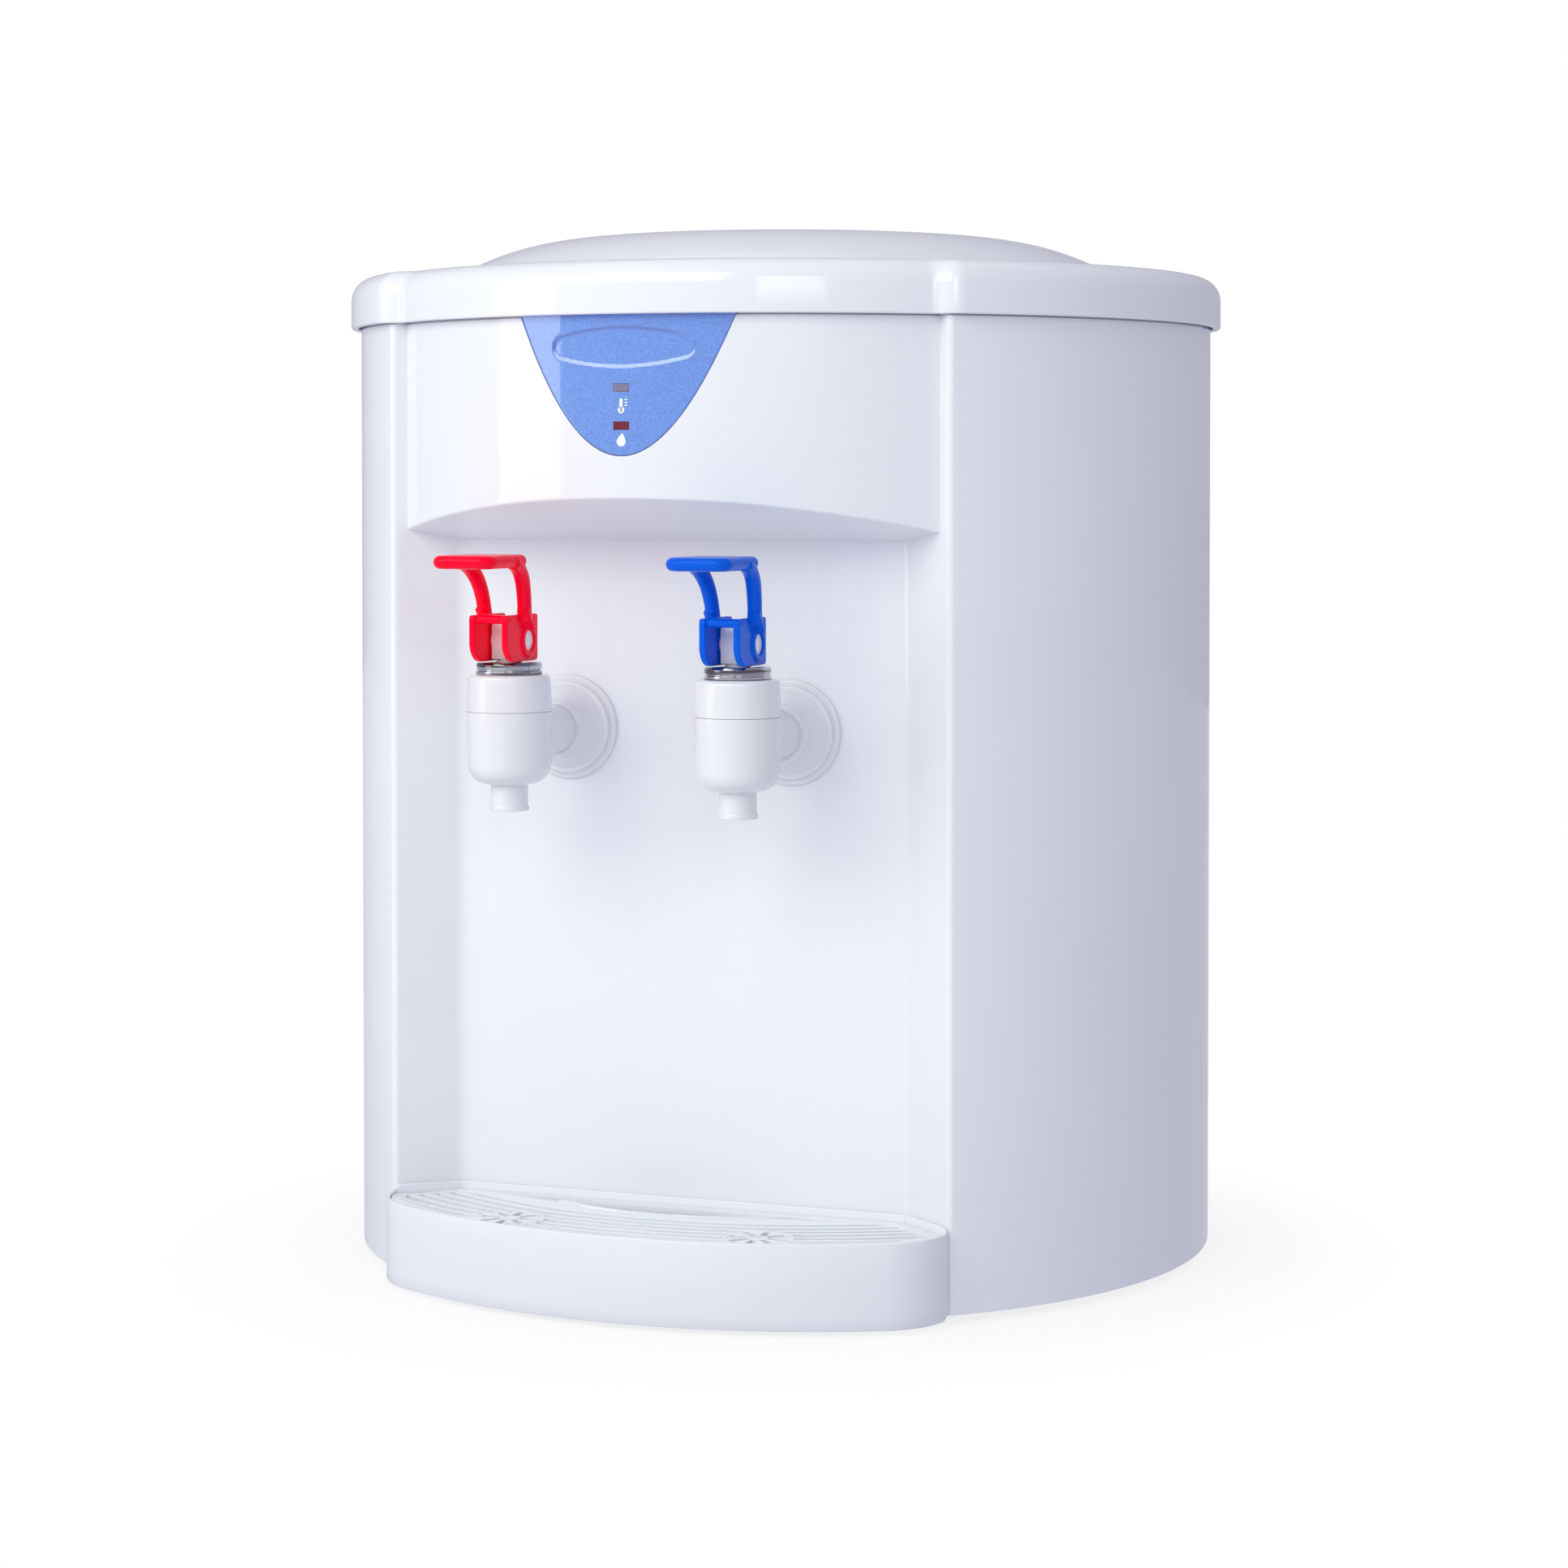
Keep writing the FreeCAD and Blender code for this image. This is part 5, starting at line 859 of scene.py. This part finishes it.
class DISPENSER_OT_top_cover(Piece):
    """Top cover: skirt, rounded edge, flat shoulder, bottle collar, well, funnel and throat"""

    bl_idname = "dispenser.top_cover"
    bl_label = "Top Cover"

    def execute(self, context):
        size = sizes()
        wall = size.wall
        top = size.skirt + size.skirt_height
        under = top - wall
        out, inn = size.overhang, size.overhang - wall
        rim = top + size.rise
        well, funnel = rim - 29 * MM, rim - 38.5 * MM
        throat = funnel - 16 * MM
        skirt = rounded([(out - 20 * MM, top, 0), (out, top, size.cover_round),
                         (out, size.skirt, 0.7 * MM), (inn, size.skirt, 0.4 * MM),
                         (inn, under, size.cover_round - wall), (out - 20 * MM, under, 0)],
                        12)[12:-12]
        skirt = evenly(skirt, 3 * MM)
        bow = collar_arc((size.collar, top), (size.rim, rim), 95 * MM, 26)
        inner = collar_arc((size.collar - wall, under), (size.rim + 0.2 * MM, rim - wall * 1.6),
                           93 * MM, 14)
        run = rounded([(size.rim + 6 * MM, rim - 1 * MM, 0), (*bow[-1], 1.2 * MM),
                       (71.5 * MM, rim - 1 * MM, 1.2 * MM), (69 * MM, well, 3 * MM),
                       (THROAT, funnel, 4 * MM), (THROAT, throat, 0.3 * MM),
                       (THROAT + wall, throat, 0.3 * MM), (THROAT + wall, funnel - wall, 3 * MM),
                       (71.5 * MM, well - wall, 4 * MM), (*inner[-1], 0)])[8:]
        collar = np.concatenate([bow[:-1], evenly(run, 6 * MM), inner[-2::-1]])
        # each station: how far it belongs to the collar, its outset or radius, and its height
        stations = np.concatenate([np.c_[np.zeros(len(skirt)), skirt][::-1],
                                   [[0.33, -1, top], [0.66, -1, top]],
                                   np.c_[np.ones(len(collar)), collar],
                                   [[0.5, -2, under]]])
        plan = cover_plan(size, np.where(stations[:, 0] < 1, stations[:, 1], 0))
        edge = cover_plan(size, out - size.cover_round)[0]
        lower = cover_plan(size, inn - size.cover_round + wall)[0]
        turn = np.arctan2(edge[:, 1], edge[:, 0])
        way = np.stack([np.cos(turn), np.sin(turn)], -1)
        weight, radius, height = stations.T[..., None, None]
        round_part = np.where(radius < 0, size.collar, radius) * way
        flat_part = np.where(radius == -1, edge, np.where(radius == -2, lower, plan))
        spots = flat_part * (1 - weight) + round_part * weight
        grid = np.concatenate([spots, height + 0 * spots[..., :1]], -1)
        dressed(build("cover_shell", outward(net(to_row(grid), round_u=True, round_v=True))),
                "top_cover", 40)
        return {"FINISHED"}


class DISPENSER_OT_drip_tray(Piece):
    """Drip tray: bowed front, tongue that fills the niche, rim, grille seat and basin"""

    bl_idname = "dispenser.drip_tray"
    bl_label = "Drip Tray"

    def loops(self, size, inset):
        """The tray in plan at each inset: back, splayed sides, end arcs and bow."""
        inset = np.atleast_1d(inset)[:, None]
        slack = 0.3 * MM + inset
        steep = math.hypot(1, size.splay)
        middle = size.bow - size.bow_reach
        end = size.bow_end - inset
        centre_x = math.sqrt((size.bow - size.bow_end) ** 2 - (size.shoulder + middle) ** 2)
        rear = size.niche_back + slack
        inner = size.niche + size.splay * slack - steep * slack
        across = (size.niche + size.splay * (size.shoulder - size.niche_back) - steep * slack
                  - centre_x)
        on = (np.sqrt((steep * end) ** 2 - across ** 2) - across * size.splay) / steep ** 2
        side = across + size.splay * on
        touch = bearing((centre_x, size.shoulder + middle))
        start = np.degrees(np.arctan2(on, side))

        def straight(x0, y0, x1, y1, count):
            part = np.linspace(0, 1, count)[None, :-1]
            return np.stack([x0 + (x1 - x0) * part, y0 + (y1 - y0) * part], -1)

        half = np.concatenate([
            straight(0 * inset, -rear, -inner, -rear, 24),
            straight(-inner, -rear, -centre_x - side, -size.shoulder - on, 18),
            arc((-centre_x, -size.shoulder), end, 180 + start, 180 + touch, 14)[:, :-1],
            arc((0, middle), size.bow - inset, 180 + touch, 270, 45)], 1)
        return np.concatenate([half, half[:, -2:0:-1] * [-1, 1]], 1)

    def execute(self, context):
        size = sizes()
        ledge = size.tray - 3 * MM
        inside = rounded([(0, TRAY_UNDER, 0), (0, size.tray, 0.5 * MM),
                          (1.3 * MM, size.tray, 0.3 * MM), (1.3 * MM, ledge, 0.2 * MM),
                          (2.6 * MM, ledge, 0.3 * MM), (2.6 * MM, TRAY_FLOOR, 1.5 * MM),
                          (16 * MM, TRAY_FLOOR, 0)], 6)[5:]
        inside = evenly(inside, 5 * MM)
        # stations under the tray: inset, and how far each one hangs down with the skirt
        below = np.array([(16, 0), (2.6, 0), (2.6, 0), (2.6, 1), (0.4, 1), (0, 0.85)])
        inset = np.r_[below[:, 0] * MM, inside[:, 0]]
        plan, base = self.loops(size, inset), self.loops(size, 0)[0]
        behind = ease((size.shoulder + 1.5 * MM + base[:, 1]) / (1.2 * MM))
        high = np.r_[np.zeros(len(below)), ease((inside[:, 1] - 0.6 * size.tray)
                                                / (0.4 * size.tray - 0.6 * MM))]
        drop = np.r_[below[:, 1], np.zeros(len(inside))]
        height = (np.r_[np.full(len(below), TRAY_UNDER), inside[:, 1]][:, None]
                  + high[:, None] * behind * size.lip
                  - drop[:, None] * (1 - behind) * (TRAY_UNDER - TRAY_SKIRT))
        grid = np.concatenate([plan, height[..., None]], -1)
        poles = [np.broadcast_to([0, base[:, 1].mean(), level], grid[:1].shape)
                 for level in (TRAY_UNDER, TRAY_FLOOR)]
        grid = np.concatenate([poles[0], grid, poles[1]])
        dressed(build("tray_shell", outward(net(to_row(grid), round_u=True))), "drip_tray", 40)
        refined("drip_grille", 0.35 * MM)
        return {"FINISHED"}


class DISPENSER_OT_badge(Piece):
    """Badge: a shield set flush in the fascia, with an oval relief, windows and plain marks"""

    bl_idname = "dispenser.badge"
    bl_label = "Badge"

    def execute(self, context):
        size = sizes()
        x, z, border = shield(size, -0.1 * MM, 150, 161)
        lift = self.relief(size, x, z) - 0.15 * MM * (1 - ease(border / (0.35 * MM)))
        thing = build("badge_shield", fascia_slab(size, x, z, lift, -1.2 * MM))
        combined(thing, "DIFFERENCE", *map(window_form, WINDOWS))
        # Paint shade into the badge's cut edge and round its oval step.
        self.paint_edge_shade(size, thing.data)
        dressed(thing, "badge_plate", 50)
        self.marks(size)
        return {"FINISHED"}

    def oval(self, size, x, z):
        """Distance outside the oval, below zero inside: a long lens whose half height falls
        with the square of x, closed by round ends."""
        tip, z = 3.6 * MM, z - OVAL_LEVEL
        tall = 2.7 * MM + 3.5 * MM * (1 - (x / size.oval) ** 2)
        beyond = np.abs(x) - size.oval + tip
        return np.where(beyond > 0, np.hypot(beyond, z) - tip, np.abs(z) - tall)

    def relief(self, size, x, z):
        """The field inside the oval lies a little lower, with a soft step round it."""
        return -0.30 * MM * ease(0.5 - self.oval(size, x, z) / (0.7 * MM))

    def paint_edge_shade(self, size, mesh):
        """Store the painted shade of the cut edge and of the oval's step, from 0 to 1: darkness
        that stands in for the shade in the gap round the badge and in the step.
        """
        x, _, z = (points_of(mesh) - to_row(np.zeros(3))).T
        rise = np.sqrt(np.clip((z - size.skirt - BADGE_TOP) / size.badge_drop + 1, 0, 1))
        border = (size.badge * rise - np.abs(x)) / np.hypot(1, size.badge / (
            2 * size.badge_drop * np.maximum(rise, 0.05)))
        step = self.oval(size, x, z)
        # The step's painted shade is stronger on its upper side, which faces down, away from the
        # light above.
        upper = 0.30 + 0.70 * ease((z - OVAL_LEVEL - x * 0.20) / (7 * MM) + 0.5)
        painted_shade = np.maximum(1 - ease(border / (0.5 * MM)),
                          (1 - ease(np.abs(step) / (0.85 * MM))) * upper)
        mesh.attributes.new("painted_gap_shade", "FLOAT", "POINT").data.foreach_set("value", painted_shade)

    def marks(self, size):
        """White marks under the windows: a thermometer, and a flame."""
        turn = full_turn(48)
        ring = np.linspace(0, 1, 6)[:, None]

        def patch(x, z):
            face = [to_row(on_fascia(size, ring * (x - x.mean()) + x.mean(),
                                     ring * (z - z.mean()) + z.mean(), lift))
                    for lift in (0.08 * MM, -0.3 * MM)]
            return outward(net(np.concatenate([face[0], face[1][::-1]]), round_u=True))

        def bar(x, z, wide, tall):
            flat = rounded_line([(x - wide, z - tall), (x + wide, z - tall), (x + wide, z + tall),
                                 (x - wide, z + tall)], min(wide, tall) * 0.98, 8)
            return patch(flat[:, 0], flat[:, 1])

        bulb = patch(1.1 * MM * np.cos(turn), WARM_MARK - 1.5 * MM + 1.1 * MM * np.sin(turn))
        ticks = [bar(1.7 * MM, WARM_MARK + up * MM, 0.5 * MM, 0.2 * MM) for up in (0, 0.9, 1.8)]
        up = np.maximum(np.sin(turn), 0)
        flame = patch(np.cos(turn) * (1.55 * MM) * (1 - up ** 1.6 * 0.75) + 0.5 * MM * up ** 2,
                      HEAT_MARK + np.where(up > 0, 2.7 * MM, 1.6 * MM) * np.sin(turn))
        thing = build("badge_marks", bulb, bar(0, WARM_MARK, 0.55 * MM, 2.2 * MM), *ticks, flame)
        smooth(thing.data)
        thing.data.materials.append(finish_for("badge_mark"))
        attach(thing, "housing")


class DISPENSER_OT_taps(Piece):
    """Both taps: barrels, caps, grooved metal collars, wall plates and milky stems"""

    bl_idname = "dispenser.taps"
    bl_label = "Taps"

    def execute(self, context):
        size = sizes()
        for side in TAPS:
            low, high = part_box(side + "_tap_cap")
            centre = ((low.x + high.x) / 2, (low.y + high.y) / 2, BASE)
            arm = (centre[0], 0, BASE + ARM_LEVEL)
            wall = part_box(side + "_tap_wall_plate")[1].y
            self.barrel(side, centre, arm, wall / MM, size.barrel / MM)
            self.rings(side, centre, size.barrel / MM, size.collar_ring / MM)
            self.plate(side, arm, wall, size.plate / MM)
            refined(side + "_tap_stem", 0.35 * MM, 3)
        return {"FINISHED"}

    def barrel(self, side, centre, arm, wall, radius):
        """Nozzle, rounded barrel and the arm that runs back through the casing."""
        line = rounded([(4.0, 160.0, 0.3), (6.4, 160.0, 0.4), (6.4, 161.2, 0.3),
                        (6.05, 161.8, 0.2), (6.05, 168.5, 0.8), (radius - 0.5, 168.5, 7.0),
                        (radius, 192.1, 0.14), (11.6, 192.1, 0.2), (11.6, 197.0, 0.3),
                        (10, 197.0, 0.3), (10, 174.5, 0.5), (4.0, 174.5, 0.3)], 10)
        thing = build(side + "_tap_barrel", turned(evenly(line, 3) * MM, centre, "z", 128))
        near, shank = centre[1] / MM, wall + 20.5
        pipe = rounded([(0, near, 0), (8, near, 0.1), (8, wall - 0.3, 0.2), (7, wall - 0.3, 0.2),
                        (7, shank, 0.4), (5, shank, 0.1), (5, shank + 12, 0.4),
                        (0, shank + 12, 0)], 4)
        combined(thing, "UNION", turned(pipe * MM, arm, "y", 64))
        dressed(thing, side + "_tap_body")

    def rings(self, side, centre, radius, ring):
        """Cap above the seam, and the grooved metal collar on it."""
        cap = rounded([(11.75, 192.2, 0.1), (radius, 192.2, 0.14), (radius - 0.6, 204.0, 1.5),
                       (4.4, 204.0, 0.2), (4.4, 200.0, 0.2), (11.75, 200.0, 0.3)])
        collar = rounded([(4.4, 204.0, 0), (ring, 204.0, 0.2), (ring, 205.1, 0.15),
                          (ring - 0.45, 205.3, 0.1), (ring - 0.45, 205.7, 0.1),
                          (ring - 0.1, 205.9, 0.15), (ring - 0.1, 207.2, 0.25),
                          (ring - 0.5, 208.0, 0.25), (4.4, 208.0, 0)], 5)
        for name, line, node, angle in (("_tap_dome", evenly(cap, 2), "_tap_cap", 32),
                                        ("_tap_ring", collar, "_tap_collar", 45)):
            dressed(build(side + name, turned(line * MM, centre, "z", 128)), side + node, angle)

    def plate(self, side, arm, wall, wide):
        """Wall plate: a thin disc, a step, and a hollow bell that runs out along the arm."""
        bell = collar_arc((-13.8, 3.6), (-9.7, 11.4), 12, 16) * [-1, 1]
        disc = rounded([(8.1, 0, 0), (wide, 0, 0.1), (wide, 1.6, 0.6), (15.3, 1.6, 0.25),
                        (15.3, 3.6, 0.7), (13.8, 3.6, 0)], 6)
        rim = rounded([(*bell[-1], 0), (9.3, 12.9, 0.8), (8.02, 13.1, 0)])[8:]
        line = np.concatenate([disc, bell[1:], rim]) * [MM, -MM] + [0, wall]
        dressed(build(side + "_tap_bell", turned(line, arm, "y")), side + "_tap_wall_plate")


class DISPENSER_OT_levers(Piece):
    """Both levers: cam ears with bosses, a cross bar, two bent legs and a rounded paddle"""

    bl_idname = "dispenser.levers"
    bl_label = "Levers"

    def execute(self, context):
        for side in TAPS:
            stem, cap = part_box(side + "_tap_stem"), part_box(side + "_tap_cap")
            centre = np.array([(stem[0].x + stem[1].x) / 2, (cap[0].y + cap[1].y) / 2,
                               BASE + PIVOT_LEVEL])
            forms = [*self.ears(), *self.legs(), self.paddle(sizes()), self.bar()]
            thing = build(side + "_lever_form",
                          *((points * MM + centre, faces) for points, faces in forms))
            modified(thing, "REMESH", mode="VOXEL", voxel_size=0.26 * MM)
            modified(thing, "SMOOTH", factor=0.5, iterations=6)
            dressed(applied(thing), side + "_tap_lever", 180)
        return {"FINISHED"}

    def ears(self):
        """Each ear is a plate between a round hole and a cam outline, with a boss round the
        hole.  Rings run from the hole to the outline, and across the thickness."""
        turn = full_turn(240)
        flat = rounded([(7.4, -6.7, 1.2), (7.4, 8.4, 0.9), (-15.8, 8.4, 1.2),
                        (-15.8, -6.7, 6.6)], 14)
        flat = evenly(np.concatenate([flat, flat[:1]]), 0.4)
        angle = np.arctan2(flat[:, 1], flat[:, 0])
        reach = np.interp(turn, *np.array(sorted(zip(angle, np.hypot(*flat.T)))).T,
                          period=2 * math.pi)
        way = np.stack([np.cos(turn), np.sin(turn)], -1)
        hole, boss = 3.45, 5.5
        stations = [(hole, 4.7), (hole, 7.6), (boss - 0.3, 7.6), (boss, 7.3), (boss + 0.1, 6.8),
                    (reach[:, None], 6.8), (reach[:, None], 4.7)]
        return [outward(net(np.array([np.c_[np.full(len(turn), hand * across), way * radius]
                                      for radius, across in stations]),
                            round_u=True, round_v=True)) for hand in (-1, 1)]

    def legs(self):
        """Each leg grows out of the boss's rib, bends forwards and outwards, and fades into the
        paddle's edge."""
        forms = []
        gone = np.linspace(0, 1, 30)
        for hand in (-1, 1):
            rib = bezier([(hand * 6.8, -0.5, 3.5), (hand * 6.8, -2.0, 6.0), (hand * 7.2, -4.0, 8),
                          (hand * 7.5, -5.2, 10.5)], 12)
            forms.append(swept(rib, np.linspace(2.8, 2.1, 12), np.linspace(0.9, 1.8, 12)))
            path = bezier([(hand * 7.0, -2.6, 6.0), (hand * 7.2, -4.6, 16.5),
                           (hand * 8.4, -6.0, 22.8), (hand * 9.0, -16.5, 25.2)], 30)
            forms.append(swept(path, 2.25 + 0.35 * gone, np.interp(gone, (0, 0.6, 1),
                                                                   (2.3, 2.7, 2.1))))
        return forms

    def paddle(self, size):
        """A rounded slab: outlines drawn in by one less the cosine of the turn, at heights that
        follow its sine."""
        half, rear, level = 2.15, 7.5, 25.7
        wide, end = size.paddle / MM, rear + size.paddle_length / MM
        loops = []
        for angle in np.linspace(-math.pi / 2, math.pi / 2, 13):
            gap = half * (1 - math.cos(angle))
            x, near, far = wide - gap, -rear - gap, -end + gap
            flat = rounded([(-x, far, 5.5 - gap), (x, far, 5.5 - gap), (x, near, 3.4 - gap),
                            (-x, near, 3.4 - gap)], 10)
            loops.append(np.c_[flat, np.full(len(flat), level + half * math.sin(angle))])
        return closed(np.array(loops))

    def bar(self):
        """The cross bar between the ears' upper front corners, with rounded ends."""
        path = np.linspace((-7.2, -13.4, 7.0), (7.2, -13.4, 7.0), 16)
        around = np.linspace(-1, 1, 16)
        radius = 1.45 * np.sqrt(np.clip(1 - np.abs(around) ** 10, 0.02, 1))
        turn = full_turn(28)
        ring = np.stack([0 * turn, np.cos(turn), np.sin(turn)], -1)
        return closed(path[:, None] + radius[:, None, None] * ring)


class DISPENSER_OT_back_fittings(Piece):
    """Switch, rocker, cord gland, drain and its cap, and base, with broken edges"""

    bl_idname = "dispenser.back_fittings"
    bl_label = "Back Fittings"

    def execute(self, context):
        for node, edge in (("switch_frame", 0.5), ("power_rocker", 0.5), ("cord_gland", 0.5),
                           ("drain_fitting", 0.4), ("drain_cap", 0.4), ("base_plate", 0.3)):
            refined(node, edge * MM)
        return {"FINISHED"}


class DISPENSER_OT_inner_parts(Piece):
    """Finishes for every part that keeps its built shape, inside and out"""

    bl_idname = "dispenser.inner_parts"
    bl_label = "Inner Parts"

    def execute(self, context):
        for node, slot in NODES.items():
            thing = frame["nodes"][node]
            if not thing.material_slots:
                thing.data.materials.append(finish_for(slot))
            for spot in thing.material_slots:
                spot.material = finish_for(slot)
        return {"FINISHED"}


class DISPENSER_OT_stage(Piece):
    """Pale floor, soft lights and the camera"""

    bl_idname = "dispenser.stage"
    bl_label = "Stage"

    def execute(self, context):
        self.floor()
        # bearings of both upright edges, distance, lower and upper edge, brightness, colour
        self.light("Left Box", (-61, -40), 1.5, (0.10, 1.50), 1.7, (1.0, 0.98, 0.97))
        self.light("Right Box", (15.5, 33), 1.6, (0.400, 1.10), 3.0, (1.0, 0.98, 1.0))
        self.light("Front Wall", (-40, 6), 2.5, (0.85, 3.0), 3.3, (0.95, 1.0, 0.76))
        self.level("Ceiling", (0, 0.3, 2.4), (2.4, 2.4), 0.3, (1.0, 1.0, 1.0))
        self.level("Bounce", (0, 0, 0.001), (6, 6), 0.14, (0.93, 1.0, 0.95), up=True)
        self.level("Front Bounce", (-0.5, -1.1, 0.002), (1.6, 1.8), 0.34, (1.0, 1.0, 0.86),
                   up=True)
        world = bpy.data.worlds.new("Studio")
        world.use_nodes = True
        room = Nodes(world.node_tree)
        glow = room.add("ShaderNodeBackground", Color=(0.85, 0.84, 1.0), Strength=0.54)
        white = room.add("ShaderNodeBackground", Color=(1.0, 1.0, 1.0))
        seen = room.add("ShaderNodeLightPath", out="Is Camera Ray")
        room.show(room.add("ShaderNodeMixShader", v0=seen, v1=glow, v2=white), "World Output")
        context.scene.world = world
        context.scene.view_settings.view_transform = "Standard"
        view = bpy.data.cameras.new("Camera")
        view.lens, view.sensor_width, view.clip_end = 82.51, 36, 50
        view.shift_x, view.shift_y = -0.0013, -0.136
        camera = link("Camera", view)
        camera.location = (0.4583, -1.1795, 0.2707)
        camera.rotation_euler = (math.radians(90 - 1.5), 0, math.radians(20.97))
        context.scene.camera = camera
        return {"FINISHED"}

    def floor(self):
        """A level sheet that turns into an evenly lit white field away from the dispenser."""
        side = np.linspace(-8.0, 8.0, 9)
        thing = build("floor", net(np.stack([*np.meshgrid(side, side), np.zeros((9, 9))], -1)))
        made = Finish("pale_floor")
        grain = made.noise(40.0, 3.0)
        made.set(Base_Color=made.mixed(grain, (0.93, 0.93, 0.94), (0.95, 0.95, 0.96)),
                 Roughness=0.9, Specular_IOR_Level=0.1)
        reach = made.add("ShaderNodeVectorMath", {"operation": "LENGTH"}, out="Value",
                         v0=made.place)
        glow = made.add("ShaderNodeEmission", Color=(1, 1, 1), Strength=1.0)
        made.show(made.add("ShaderNodeMixShader", v0=reach.step(0.12, 0.24) * 0.22 + 0.78,
                           v1=Value(made, made.shader.outputs[0]), v2=glow), "Material Output")
        thing.data.materials.append(made.material)
        thing.visible_diffuse = thing.visible_glossy = False

    def lamp(self, name, wide, tall, brightness, tone):
        """A rectangle that shines as bright as brightness, where 1 is plain white."""
        data = bpy.data.lights.new(name, "AREA")
        data.shape = "RECTANGLE"
        data.size, data.size_y = wide, tall
        data.energy = brightness * math.pi * wide * tall
        data.color = tone
        return link(name, data)

    def light(self, name, edges, far, heights, brightness, tone):
        """An upright soft box that faces the axis; bearings are degrees from the front."""
        first, last = (math.radians(edge) for edge in edges)
        turn, tall = (first + last) / 2, heights[1] - heights[0]
        thing = self.lamp(name, 2 * far * math.tan((last - first) / 2), tall, brightness, tone)
        thing.location = (far * math.sin(turn), -far * math.cos(turn), sum(heights) / 2)
        thing.rotation_euler = (math.pi / 2, 0, turn)

    def level(self, name, place, span, brightness, tone, up=False):
        """A level light: a soft box overhead, or the light that a white floor sends back up."""
        thing = self.lamp(name, *span, brightness, tone)
        thing.location = place
        thing.rotation_euler = (math.pi if up else 0, 0, 0)
        thing.visible_camera = False


class DISPENSER_PT_panel(Panel):
    """Lists the pieces in the sidebar"""

    bl_label = "Water Dispenser"
    bl_space_type = "VIEW_3D"
    bl_region_type = "UI"
    bl_category = "Dispenser"

    def draw(self, context):
        for piece in PIECES:
            self.layout.operator(piece.bl_idname)
        for group in (context.scene.dispenser_sizes, context.scene.dispenser_finishes):
            box = self.layout.box()
            for name in group.__annotations__:
                box.prop(group, name)


PIECES = (DISPENSER_OT_stage, DISPENSER_OT_inner_parts, DISPENSER_OT_front_casing,
          DISPENSER_OT_rear_casing, DISPENSER_OT_top_cover, DISPENSER_OT_drip_tray,
          DISPENSER_OT_badge, DISPENSER_OT_taps, DISPENSER_OT_levers,
          DISPENSER_OT_back_fittings)
CLASSES = (DispenserSizes, DispenserFinishes, *PIECES, DISPENSER_PT_panel)


def register():
    for kind in CLASSES:
        bpy.utils.register_class(kind)
    bpy.types.Scene.dispenser_sizes = PointerProperty(type=DispenserSizes)
    bpy.types.Scene.dispenser_finishes = PointerProperty(type=DispenserFinishes)


def unregister():
    del bpy.types.Scene.dispenser_finishes
    del bpy.types.Scene.dispenser_sizes
    for kind in reversed(CLASSES):
        bpy.utils.unregister_class(kind)


def main():
    register()
    for piece in PIECES:
        group, name = piece.bl_idname.split(".")
        getattr(getattr(bpy.ops, group), name)()


if __name__ == "__main__":
    main()
